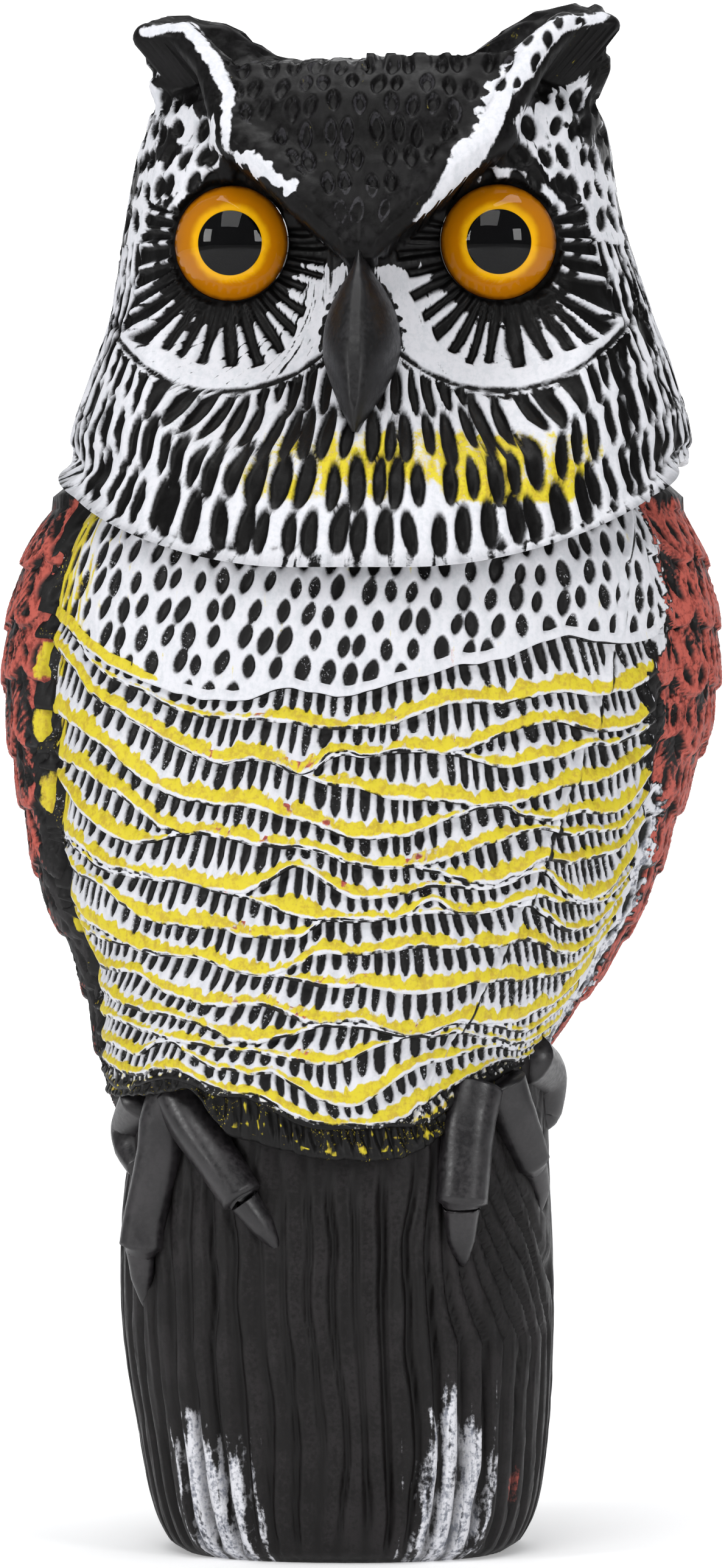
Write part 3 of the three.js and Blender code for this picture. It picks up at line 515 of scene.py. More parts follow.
def add_feather_line(sheet, c, row, n, share):
    """Line n of a row of feathers: a comb of slots over a rounded yellow lip."""
    under = share < 0
    share = max(share, 0.0)
    deg, low, high, z = settle_row(c, row, share)
    height = high - low
    strength = smooth(height / 5.0)
    beyond = ease(deg, seam_angle(z), 0.7)
    pitch = COMB_PITCH * (1 - 0.14 * beyond)
    arc = np.radians(deg) * BELLY_ARC * (0.74 + 0.26 * ease(z, 105, 90))
    u = arc / pitch + row * 0.37 + 0.34 * wander(arc / 7.5, row * 2.3 + 11) + 0.5 * beyond
    u += 0.09 * np.sin(np.radians(deg)) * share * height
    s = np.abs(frac(u) - 0.5) * 2
    tip = 0.26 + 0.18 * hashed(np.floor(u), row, 3.0)
    wide = 0.5 + 0.26 * hashed(np.floor(u), row, 8.0)
    width = mix(0.22, wide, ease(share, tip, 0.28)) - 1.8 * ease(tip, share, 0.08)
    slot = (width - s) * pitch * 0.5 + grain(arc, z, (0.12, 0.9, 1.3, row + 19))
    slot = np.where(height < 3.0, slot - (3.0 - height) * 0.4, slot)

    relief = LIP_STEP * strength * share ** 0.85 * np.clip(height / 9.0, 0.55, 1.1)
    relief += -0.35 * strength * peak(share, 0.16, 0.14)
    relief = relief + 0.45 + 0.95 * strength * smooth(slot / 0.7 + 0.5)
    relief = relief + grain(arc, z, (0.14, 2.1, 2.3, row + 3)) - 1.2 * seam_ridge(deg, z)
    relief += (1.3 * strength if under else 0.3 * strength if n == 1 else 0.0)
    if row == 0:
        relief += 0.6 * smooth((0.55 - s) * 3.0) * strength
    relief = np.maximum(relief, LEAST)
    drop = (0.1 if under else 0.35 if n == 1 else 0.0) * strength

    # Paint, by the height th above the lip's edge. The two rows at the hem are mostly bare black.
    th = share * height
    full = np.clip(height / 10, 0.3, 1.15)
    edge = (3.6 + 0.9 * wander(arc / 0.95, row + 21.0) + 1.0 * wander(arc / 4.0, row + 31.0)) * full
    white = 1.6 - 1.7 * ease(0.75, th, 0.4) + 0.5 * wander(arc / 5.0, row + 55.0)
    white += 0.7 * wander(arc / 1.3, row + 58.0) * ease(0.7, th, 0.4)
    lower = th - 0.6 + 0.3 * wander(arc / 1.7, row + 77.0) + 0.3 * wander(arc / 6.0, row + 79.0)
    yellow = np.minimum(edge - th, lower)
    yellow = np.where(height < 2.0, yellow - 0.8, yellow)
    yellow = np.where(row < HEM_ROWS, np.maximum(yellow, 0.6 - 0.8 * row), yellow)
    yellow = np.maximum(yellow, strip_yellow(deg, z))
    smear = 1.2 * wander2(arc / 5.0, row * 7.7, 45.0) + grain(arc, th, (0.9, 0.9, 0.7, row + 46))
    smear = np.minimum(smear - 0.72 - 0.02 * np.abs(deg), th - 0.8)
    yellow = np.where(row > HEM_ROWS, np.minimum(yellow, 0.3 - smear), yellow)
    rust = np.where((row > HEM_ROWS) & (edge > th), smear, BARE)
    dark = np.full(deg.shape, FULL)
    if not under:
        hem = 0.62 - row * 0.45 + 0.6 * ease(1.6, th, 1.2)
        hem += grain(arc, z, (0.4, 4.6, 2, 61), (1, 0.8, 0.9, 63))
        dark = np.maximum(belly_dark(deg, z, slot), np.where(row < HEM_ROWS, hem, BARE))
    add_belly_line(sheet, deg, z, drop, relief, dict(white=white, yellow=yellow, dark=dark, rust=rust))


def add_chest_line(sheet, c, share):
    """One line of the white chest over the feather rows, with slots in staggered rows."""
    under = share < 0
    share = max(share, 0.0)
    z = np.full(c.shape, 240.0)
    for _ in range(BELLY_SETTLES):
        deg = belly_angle(c, z)
        start = lip_height(len(LIPS) - 1, deg)
        z = mix(start, SHOULDER_START, share)
    arc = np.radians(deg) * CHEST_ARC
    pit = slot_field(arc + 0.2 * (z - 240) * np.sin(np.radians(deg)), z + 2.6 * np.sin(deg / 22.0),
                     6.2, 7.2, 1.75, 3.4, 17.0, power=1.7, jitter=0.22, slant=0.12)
    pit = np.where(z - start < 2.5, BARE, pit)
    relief = 0.55 + -0.3 * peak(z, start, 1.6) + 1.2 * smooth((pit + 0.4) / 1.0)
    relief += grain(arc, z, (0.18, 2.4, 6, 41))
    relief = np.maximum(relief + (1.3 if under else 0.0) - 1.0 * seam_ridge(deg, z), LEAST)
    dark = np.full(deg.shape, FULL) if under else belly_dark(deg, z, pit)
    yellow = np.minimum(3.4 - (z - start), (z - start) - 0.5) - 2.6 * smooth((deg + 38) / 14)
    tint = 1.5 * peak(deg, -57, 9.0) - 0.9 + grain(arc, z, (0.8, 0.9, 9, 83))
    yellow = np.maximum.reduce([yellow, tint, strip_yellow(deg, z)])
    rust = 0.7 * peak(deg, 19, 5.0) + grain(arc, z, (0.7, 0.8, 7, 87)) - 1.35
    add_belly_line(sheet, deg, z, 0.0, relief, dict(white=1.6, yellow=yellow, dark=dark, rust=rust))


def build_belly():
    c = np.linspace(-1, 1, BELLY_COLUMNS)
    sheet = Sheet()
    deg, _, _, z = settle_row(c, 0, 0.0)
    sheet.add(stump_point(deg, z + TUCK_RISE, TUCK_DEPTH), dark=FULL)
    for row in range(len(LIPS) - 1):
        for n, share in enumerate(ROW_LINES):
            add_feather_line(sheet, c, row, n, share)
    for share in np.concatenate([[UNDER, 0.0], np.linspace(0.015, 1, CHEST_LINES)]):
        add_chest_line(sheet, c, share)
    add_shoulders(sheet, len(c), lambda z: belly_angle(c, z), 0.5,
                  lambda turn: dict(white=FULL, dark=-2.0 + turn / 20.0))
    return sheet.mesh("owl_belly")


WING_COLUMNS, WING_ROWS, WING_SETTLES, WING_OVERLAP = 400, 190, 6, 1.0


def build_wings():
    t = np.linspace(0, 1, WING_COLUMNS)
    g = t - 0.5 * np.sin(2 * math.pi * t) / (2 * math.pi)
    sheet = Sheet()

    def column_angle(z):
        first = wing_edge(1.0, z) + WING_OVERLAP
        last = 360 - wing_edge(-1.0, z) - WING_OVERLAP
        return mix(first, last, g)

    for share in np.concatenate([[UNDER], np.linspace(0, 1, WING_ROWS)]):
        under = share < 0
        share = max(share, 0.0)
        z = np.full(t.shape, 200.0)
        for _ in range(WING_SETTLES):
            deg = column_angle(z)
            z = mix(hem_height(deg), SHOULDER_START, share)
        if under:
            sheet.add(stump_point(deg, z + TUCK_RISE, TUCK_DEPTH), dark=FULL)
            continue
        relief, paint = wing_finish(deg, z)
        edge_in = np.minimum(deg - column_angle(z)[0], column_angle(z)[-1] - deg) * EDGE_STEP
        relief = np.maximum(relief + 4.0 * ease(1.2, edge_in, 1.2), LEAST)
        sheet.add(body_point(deg, z, relief), **paint)
    add_shoulders(sheet, len(t), column_angle, 0.6, lambda turn: dict(rust=-1.0, dark=-1.0))
    return sheet.mesh("owl_wings")


def build_neck():
    """The post on the shoulders that the head turns on."""
    deg = np.arange(0, 360, 3.75)
    x, y = heading(deg)
    sheet = Sheet()
    top = SHOULDER_TOP + NECK_HEIGHT
    profile = [(NECK_RADIUS + 1.0, SHOULDER_TOP - 0.8), (NECK_RADIUS, SHOULDER_TOP), (NECK_RADIUS, top - 1.2),
               (NECK_RADIUS - 0.4, top - 0.4), (NECK_RADIUS - 1.2, top), (NECK_RADIUS - 8, top), (0.02, top)]
    for radius, z in profile:
        sheet.add(placed(NECK_X + x * radius, NECK_Y + y * radius, z), dark=1.0)
    return sheet.mesh("owl_neck", closed=True)


STUMP_COLUMNS, STUMP_ROWS = 420, 96
FLUTE_PITCH, FLUTE_DEPTH = 7.0, 3.0


def build_stump():
    deg = np.arange(STUMP_COLUMNS) * 360.0 / STUMP_COLUMNS - 180
    sheet = Sheet()
    for share in (0.02, 0.5, 0.93):
        sheet.add(stump_point(deg, np.full(deg.shape, 0.0)) * [share, share, 1], dark=2.0)
    for share in np.linspace(0, 1, STUMP_ROWS) ** 1.1:
        top = hem_height(deg) + 2.0
        z = mix(0, top, share)
        arc = np.radians(deg) * STUMP_ARC
        lean = 0.65 * peak(deg, 60, 24.0, 4) * np.maximum(z - 58, 0)
        along = arc + lean + grain(arc, z, (2.2, 15, 36, 19), (0.9, 6, 14, 29))
        phase = along / FLUTE_PITCH
        wave = np.abs(frac(phase) - 0.5) * 2
        deep = 0.55 + 0.45 * hashed(np.floor(phase), 7.0) + 0.3 * wander2(phase, z / 22.0, 5.0)
        drips = ease(99 + 8 * hashed(np.floor(phase), 17.0), z, 12)
        groove = ease(0.55, wave, 0.55) * deep * mix(0.25, 1.0, drips)
        fine = grain(arc, z, (0.22, 1.5, 9, 15), (0.1, 0.8, 4, 25))
        relief = 0.25 + FLUTE_DEPTH * groove * smooth(z / 9.0) + np.maximum(fine, -0.2)
        ridge = (wave - 0.45) * 1.6 + 0.4 * fine
        streak = grain(arc, z, (1.1, 0.9, 11, 65), (0.6, 0.6, 3, 67))
        lefts = peak(deg, -36, 14.0, 4) * 2.4 * ease(46 + 10 * wander(arc / 5.0, 4.0), z, 22)
        rights = peak(deg, 37, 14.0, 4) * 2.4 * ease(52 + 10 * wander(arc / 5.0, 8.0), z, 22)
        rust = np.exp(-((deg - 59) / 4.0) ** 2 - ((z - 20) / 8.0) ** 2) * (2.4 + 0.9 * streak) - 2.0
        white = lefts * 1.1 + rights * 1.1 - 2.0 + 0.5 * ridge + streak * (lefts + rights > 0.1)
        sheet.add(stump_point(deg, z, relief), white=white, rust=rust, dark=-ridge * 0.6 - 0.2)
    return sheet.mesh("owl_stump", closed=True)


TOES = [
    [[-44.6, 122.6, 0, 8.5], [-47.2, 116.2, 1.6, 7.2], [-48.4, 106.5, 1.8, 6.7], [-52.5, 90.3, 1.4, 6.5],
     [-53.8, 83, 1.4, 6.9], [-54.6, 81.4, 1, 4.8], [-55.9, 74, 0, 3.4], [-58.1, 66.1, -2, 0.8]],
    [[-42.2, 121.9, 0, 8.5], [-36.5, 114.9, 1.4, 7], [-28.5, 105.6, 1.8, 6.4], [-21.6, 96.6, 1.8, 6],
     [-20.6, 95.2, 1.6, 4.3], [-15.9, 88.3, 0, 3.2], [-12.7, 82.6, -2, 0.8]],
    [[-62, 122, -1, 7.5], [-76, 113.3, -0.8, 6.5], [-73, 107.1, -1, 5.6], [-67, 102.2, -1.6, 3]],
    [[41.7, 124.5, 0, 8.5], [38.9, 116.7, 1.8, 7.8], [37.7, 107.2, 2.4, 7.6], [36.9, 95.2, 2.4, 7.6],
     [37.2, 93.6, 2, 5.4], [38, 84.9, 0.6, 4], [40.2, 78.3, -2, 0.8]],
    [[50.7, 125.9, 0, 8], [54, 119.4, 0.8, 6.8], [59, 112, 0.8, 6.2], [63.5, 105.2, 0.8, 5.6],
     [66.1, 103.4, 0.2, 4.2], [72.4, 96.8, -0.4, 2.8], [76.5, 90.4, -2.2, 0.8]],
    [[67.6, 132.6, -2, 8], [86, 127, -1, 6.8], [90, 117, -2, 6], [88, 113.4, -3, 3]],
]
TOE_SIDES, TOE_STEPS = 24, 7


def build_feet():
    points, faces, dark = [], [], []
    for toe in TOES:
        toe = np.asarray(toe, float)
        spots = np.array([stump_point(a, np.float64(z), -out) for a, z, out, _ in toe])
        radii, middle = [], []
        for i in range(len(toe) - 1):
            cuff = abs(toe[i, 1] - toe[i + 1, 1]) < 2.5
            for k in range(TOE_STEPS):
                t = k / TOE_STEPS
                middle.append(curve_at(spots, i, t))
                radii.append(mix(toe[i, 3], toe[i + 1, 3], min(t * 5, 1) if cuff else t))
        middle.append(spots[-1])
        radii.append(toe[-1, 3])
        middle, radii = np.array(middle), np.array(radii)
        along = np.gradient(middle, axis=0)
        along /= np.linalg.norm(along, axis=1, keepdims=True)
        outward = middle * [1, 1, 0]
        side = np.cross(outward, along)
        side /= np.linalg.norm(side, axis=1, keepdims=True)
        over = np.cross(along, side)
        turn = np.arange(TOE_SIDES) / TOE_SIDES * 2 * math.pi
        n = np.arange(len(radii))[:, None]
        facets = 0.035 * (1 - np.cos(4 * turn + 0.6))[None]
        rough = 1 - facets - 0.02 * (1 + wander2(turn[None] * 3.0 + 0 * n, n / 3.0, 51.0))
        outwards = side[:, None] * np.cos(turn)[None, :, None] + over[:, None] * np.sin(turn)[None, :, None]
        ring = (middle[:, None] + outwards * (radii[:, None] * rough)[..., None]).reshape(-1, 3)
        base = sum(len(p) for p in points)
        body = grid_faces(len(radii), TOE_SIDES, True) + base
        ends = []
        for row, flip in ((0, True), (len(radii) - 1, False)):
            centre = base + len(ring) + (0 if flip else 1)
            for k in range(TOE_SIDES):
                a, b = base + row * TOE_SIDES + k, base + row * TOE_SIDES + (k + 1) % TOE_SIDES
                ends.append([b, a, centre, centre] if flip else [a, b, centre, centre])
        points.append(np.concatenate([ring, middle[:1], middle[-1:]]))
        faces.append(np.concatenate([body, ends]))
        claw = np.clip((np.arange(len(radii)) - len(radii) * 0.62) / 4.0, -1, 1)
        dark.append(np.concatenate([np.repeat(claw, TOE_SIDES), [-1, 1]]))
    return make_mesh("owl_feet", np.concatenate(points), np.concatenate(faces),
                     {"dark": np.concatenate(dark)})


# The head, in millimetres from the neck's axis; heights stay those of the whole owl.
HEAD = [
    [255, 96, -104, 92, 1.6], [268, 90, -100, 88, 1.6], [280, 86, -95, 84, 1.4],
    [291, 83.5, -91, 81, 1], [299, 84.5, -87, 79, 1.2], [315, 79.9, -79, 75, 1.6],
    [332, 74, -70, 71, 1.4], [340, 72, -68, 70, 0.7], [357, 68, -67, 68, -0.8],
    [373, 65, -65, 64, -0.8], [390, 62, -62, 58, 0.6],
]
CROWN_TOP, CROWN_RISE, CROWN_LEAN, CROWN_POWER, HEAD_POWER = 401.0, 27.0, 6.0, 3.2, 2.45
SKIRT_FRONT, SKIRT_RISE, SKIRT_DIP_ANGLE, SKIRT_RISE_ANGLE = 261.0, 31.0, 8.0, 75.0
EAR = [[30, -18, 389, 13], [43, -22, 401, 10.5], [51, -25, 404.5, 8.5], [55.5, -28, 406.5, 6],
       [54.5, -25, 395, 6.5], [49, -18, 384, 9]]
EAR_HOLLOW = [[53, -50, 397, 9], [50, -56, 384, 12]]
BROW = [[60, -34, 405, 4], [49, -39, 404.5, 4.4], [41, -46, 396, 5], [37, -52, 385, 5.6], [34, -57, 376, 6],
        [25, -63, 369, 6], [14, -68, 358, 5.4], [3, -71, 347, 4.4]]
LEFT_EAR_LIFT, LEFT_EAR_OUT, EAR_FOOT, EAR_FULL = 2.5, 3.6, 378.0, 398.0
FOREHEAD_TOP, FOREHEAD_FOOT, FOREHEAD_BACK, FOREHEAD_SET_BACK = 397.0, 343.0, -30.0, 0.7
EAR_BLEND, HOLLOW_BLEND, BROW_BLEND = 6.0, 4.0, 4.0
BEAK = [
    [347, 1.2, -74, -60], [341, 2.4, -79, -58], [335, 6.2, -83.5, -56], [329, 9, -87, -56],
    [323, 10.3, -89.5, -56], [317, 10.1, -91.5, -58], [311, 8.2, -92.5, -62], [305, 5.6, -93, -68],
    [300, 3, -92.5, -76], [296.5, 0.9, -91, -84],
]
EYE_X, EYE_Y, EYE_Z, EYE_YAW = 35.5, -52.0, 348.5, 7.0
DISC_RADIUS, DISC_BOTTOM, DISC_OUT, DISC_DROP = 62.0, -51.0, 1.9, 3.0
HEAD_MIDDLE = np.array([0.0, -4.0, 338.0])
HEAD_COLUMNS, HEAD_ROWS = 440, 205
ROOF, SOCKET_TOP = SHOULDER_TOP + SHOULDER_GAP, SHOULDER_TOP + NECK_HEIGHT + BEARING_GAP
# Where the search for the head's surface starts, how far it steps in, and how often it halves the last step.
REACH_START, REACH_STEP, REACH_STEPS, REACH_HALVINGS = 150.0, 2, 60, 9


def soft_min(a, b, width):
    h = np.clip(0.5 + 0.5 * (b - a) / width, 0, 1)
    return mix(b, a, h) - width * h * (1 - h)


def soft_max(a, b, width):
    return -soft_min(-a, -b, width)


def limb_distance(spots, x, y, z):
    """Distance outside a tapered limb, and how far along it the nearest point is, from 0 to 1."""
    nearest, where = np.full(np.shape(x), 1e6), np.zeros(np.shape(x))
    for i in range(len(spots) - 1):
        a, b = np.array(spots[i], float), np.array(spots[i + 1], float)
        along = b[:3] - a[:3]
        tx, ty, tz = x - a[0], y - a[1], z - a[2]
        t = np.clip((tx * along[0] + ty * along[1] + tz * along[2]) / (along @ along), 0, 1)
        gap = np.sqrt((tx - along[0] * t) ** 2 + (ty - along[1] * t) ** 2 + (tz - along[2] * t) ** 2)
        gap -= mix(a[3], b[3], t)
        closer = gap < nearest
        nearest = np.where(closer, gap, nearest)
        where = np.where(closer, (i + t) / (len(spots) - 1), where)
    return nearest, where


def mirrored(x, y, z):
    ear = np.where(x > 0, ease(z, EAR_FOOT, EAR_FULL - EAR_FOOT), 0)
    return np.abs(x) - LEFT_EAR_OUT * ear, y, z - LEFT_EAR_LIFT * ear


def forehead_distance(x, y, z):
    heights = [b[2] for b in BROW[::-1]]
    ridge_x, ridge_y, radius = (np.interp(z, heights, [b[k] for b in BROW[::-1]]) for k in (0, 1, 3))
    front = ridge_y - radius * FOREHEAD_SET_BACK
    return np.maximum.reduce([x - ridge_x, front - y, y - FOREHEAD_BACK, z - FOREHEAD_TOP, FOREHEAD_FOOT - z])


def head_field(x, y, z):
    half_x, front, back, shift = section_at(HEAD, np.minimum(z, HEAD[-1][0]))
    deg = np.degrees(np.arctan2(x - shift, -y))
    reach = oval_radius(deg, half_x, np.where(y < 0, -front, back), HEAD_POWER)
    flat = np.hypot(x - shift, y) / reach
    rise = np.maximum(z - CROWN_TOP + CROWN_RISE, 0) / CROWN_RISE
    share = (flat ** CROWN_POWER + rise ** CROWN_POWER) ** (1 / CROWN_POWER)
    skull = (share - 1) * (reach - CROWN_LEAN * rise)
    m = mirrored(x, y, z)
    bowl = np.sqrt((np.abs(x) - EYE_X - DISC_OUT) ** 2 + (y - DISC_BOTTOM + DISC_RADIUS) ** 2
                   + (z - EYE_Z + DISC_DROP) ** 2) - DISC_RADIUS
    shape = soft_min(skull, limb_distance(EAR, *m)[0], EAR_BLEND)
    shape = soft_max(shape, -bowl, HOLLOW_BLEND)
    shape = soft_max(shape, -limb_distance(EAR_HOLLOW, *m)[0], HOLLOW_BLEND)
    shape = soft_min(shape, limb_distance(BROW, *m)[0], BROW_BLEND)
    return soft_min(shape, forehead_distance(*m), BROW_BLEND)


def head_reach(directions):
    """How far the head's surface is from its middle along each direction."""
    def at(t):
        p = HEAD_MIDDLE + directions * t[..., None]
        return head_field(p[..., 0], p[..., 1], p[..., 2])

    outside = np.full(directions.shape[:-1], REACH_START)
    for _ in range(REACH_STEPS):
        free = at(outside - REACH_STEP) > 0
        if not free.any():
            break
        outside = np.where(free, outside - REACH_STEP, outside)
    inside = outside - REACH_STEP
    for _ in range(REACH_HALVINGS):
        half = (inside + outside) / 2
        out = at(half) > 0
        outside, inside = np.where(out, half, outside), np.where(out, inside, half)
    return inside


def rim_height(deg):
    return SKIRT_FRONT + SKIRT_RISE * ease(np.abs(deg), SKIRT_DIP_ANGLE, SKIRT_RISE_ANGLE)


def shoulder_reach(z):
    deg = np.arange(-180, 180, 5.0)
    p = body_point(deg, np.full(deg.shape, float(z)))
    return np.hypot(p[:, 0] - NECK_X, p[:, 1] - NECK_Y).max()


BELL_HEIGHTS = np.linspace(250, SHOULDER_TOP + SHOULDER_GAP, 60)
BELL_REACH = np.array([shoulder_reach(z - SHOULDER_GAP) + SWING_CLEARANCE for z in BELL_HEIGHTS])


def bell_radius(z):
    return np.interp(z, BELL_HEIGHTS, BELL_REACH)


FLUTES = 33


def radial_flutes(x, z, side):
    """Around an eye: distance from it, angle from outwards over upwards, and how far inside a groove."""
    dx, dz = (x - side * (EYE_X + 1.0)), z - EYE_Z
    rho, turn = np.hypot(dx, dz), np.arctan2(dz, dx * side)
    k = turn * FLUTES / (2 * math.pi) + 0.35 * wander(turn * 3.0, side + 4.0)
    k = k + 0.03 * (rho - 28) * np.sin(turn * 2) + 0.12 * wander2(turn * 9.0, rho / 7.0, side + 9.0)
    wave, odd = np.abs(frac(k) - 0.5) * 2, hashed(np.floor(k), side)
    inward = ease(-np.cos(turn), 0.45, 0.4)
    outward = ease(np.cos(turn), 0.45, 0.35)
    width = mix(0.82, 0.46, ease(rho, 19, 14)) + 0.16 * (odd - 0.5)
    width = mix(mix(width, 0.74, outward), 0.5, inward)
    last = mix(mix(31.5 + 2.2 * odd, 37.0, outward), 23.0 + 6.0 * odd, inward)
    groove = np.minimum((width - wave) * rho * math.pi / FLUTES, (last - rho) * 0.7)
    return rho, turn, groove, odd


# Where the brows and cheeks are painted white, seen from the front: sideways, height and half width.
LEFT_BAND = [[62.4, 409.5, 1.6], [51.5, 407.3, 2.6], [45.3, 401.9, 4.4], [41.4, 395, 4.4], [36, 388.2, 3.5],
             [33.6, 379.3, 3.6], [29.4, 371.6, 3.9], [24.8, 363.7, 3.3], [20.5, 357.5, 2.0], [15, 352.6, 0.6]]
LEFT_SMEAR = [[56, 391, 2.5], [51, 385, 4.5], [46, 378, 5.5], [52, 373, 7]]
LEFT_CHEEK = [[56, 371, 5], [62, 363, 6], [65, 352, 5], [65, 342, 3]]
RIGHT_BAND = [[59.9, 406.2, 1.4], [48.7, 408, 1.9], [44, 402.4, 1.9], [39.2, 395.3, 2.0], [35.9, 388.5, 1.7],
              [36.3, 380.5, 1.3], [36, 372.6, 0.8]]
RIGHT_DABS = [[36, 372, 0.6], [31.6, 370.2, 2.4], [25, 366.2, 2.6], [18, 361, 1.4]]
RIGHT_EAR_DABS = [[60, 398, 1.0], [58.5, 386, 1.5]]
RIGHT_CHEEK = [[50, 384, 2.5], [45, 378, 5], [45, 371, 5.5], [51, 366, 4.5], [59, 366, 4], [62, 354, 4],
               [64, 344, 2.5]]


# The raised rim around a disc, the heights between which an eye's seat is cut, and its depth behind the eye.
DISC_RIM, SOCKET_LOW, SOCKET_HIGH, SEAT_BEHIND = 39.3, 325, 372, 1.3


def band_field(band, x, z):
    spots = [[a, 0, b, half] for a, b, half in band]
    return -limb_distance(spots, np.abs(x), 0 * x, z)[0]


def head_rim(deg):
    """The outer rim of the head's skirt, around the neck's axis."""
    rim_z = rim_height(deg)
    half_x, front, back, _ = section_at(HEAD, rim_z)
    drawn = oval_radius(deg, half_x, np.where(np.abs(deg) < 90, -front, back), HEAD_POWER)
    radius = np.maximum(bell_radius(rim_z) + SKIRT_WALL, drawn)
    x, y = heading(deg)
    return placed(x * radius, y * radius, rim_z)


def head_surface(rim):
    """Rows of points from the rim up over the face and the ears to the crown, around the neck's axis."""
    foot = rim - HEAD_MIDDLE
    low = np.arctan2(foot[:, 2], np.hypot(foot[:, 0], foot[:, 1]))
    turn = np.arctan2(foot[:, 1], foot[:, 0])
    share = np.linspace(0, 1, HEAD_ROWS + 2)[1:-1, None]
    level, ear_tilt = math.radians(-4), math.radians(50)
    tilt = np.where(share < 0.33, mix(low, level, share / 0.33),
                    np.where(share < 0.88, mix(level, ear_tilt, (share - 0.33) / 0.55),
                             mix(ear_tilt, math.pi / 2, (share - 0.88) / 0.12)))
    directions = np.stack([np.cos(tilt) * np.cos(turn), np.cos(tilt) * np.sin(turn), np.sin(tilt)], -1)
    p = HEAD_MIDDLE + directions * head_reach(directions)[..., None]
    r = np.hypot(p[..., 0], p[..., 1]) + 1e-9
    covering = soft_max(r, np.where(p[..., 2] < ROOF, bell_radius(p[..., 2]) + SKIRT_WALL - 0.4, 0.0), 2.0)
    p[..., :2] *= np.where(p[..., 2] < ROOF + 3, covering / r, 1.0)[..., None]
    return p


def normals_of(p):
    normal = np.cross(np.roll(p, -1, 1) - np.roll(p, 1, 1), np.gradient(p, axis=0))
    return normal / (np.linalg.norm(normal, axis=-1, keepdims=True) + 1e-9)


def add_head_lining(sheet, deg, rim):
    """The socket for the neck's post, the bell inside the skirt, and the rim's edge with its broken white."""
    x, y = heading(deg)
    neck = [NECK_X, NECK_Y, 0]

    def ring(radius, height):
        return placed(x * radius, y * radius, height) + neck

    socket = NECK_RADIUS + NECK_CLEARANCE
    for radius, height in ((0.02, SOCKET_TOP), (socket, SOCKET_TOP), (socket, ROOF)):
        sheet.add(ring(radius, height), dark=2.0)
    for share in (1.0, 0.85, 0.65, 0.4, 0.2, 0.0):
        height = mix(rim[:, 2], ROOF, share)
        sheet.add(ring(bell_radius(height), height + (0.6 if share == 0 else 0)), dark=2.0)
    inner = bell_radius(rim[:, 2])
    white = 0.6 + 1.4 * wander(np.radians(deg) * HEAD_ARC / 1.3, 69.0)
    for out, up in ((0.12, 0.1), (0.5, 0.0), (0.85, 0.15)):
        line = mix(placed(x * inner, y * inner, rim[:, 2]), rim, out)
        sheet.add(line + [NECK_X, NECK_Y, up], white=white, dark=2.0 - 4 * out)


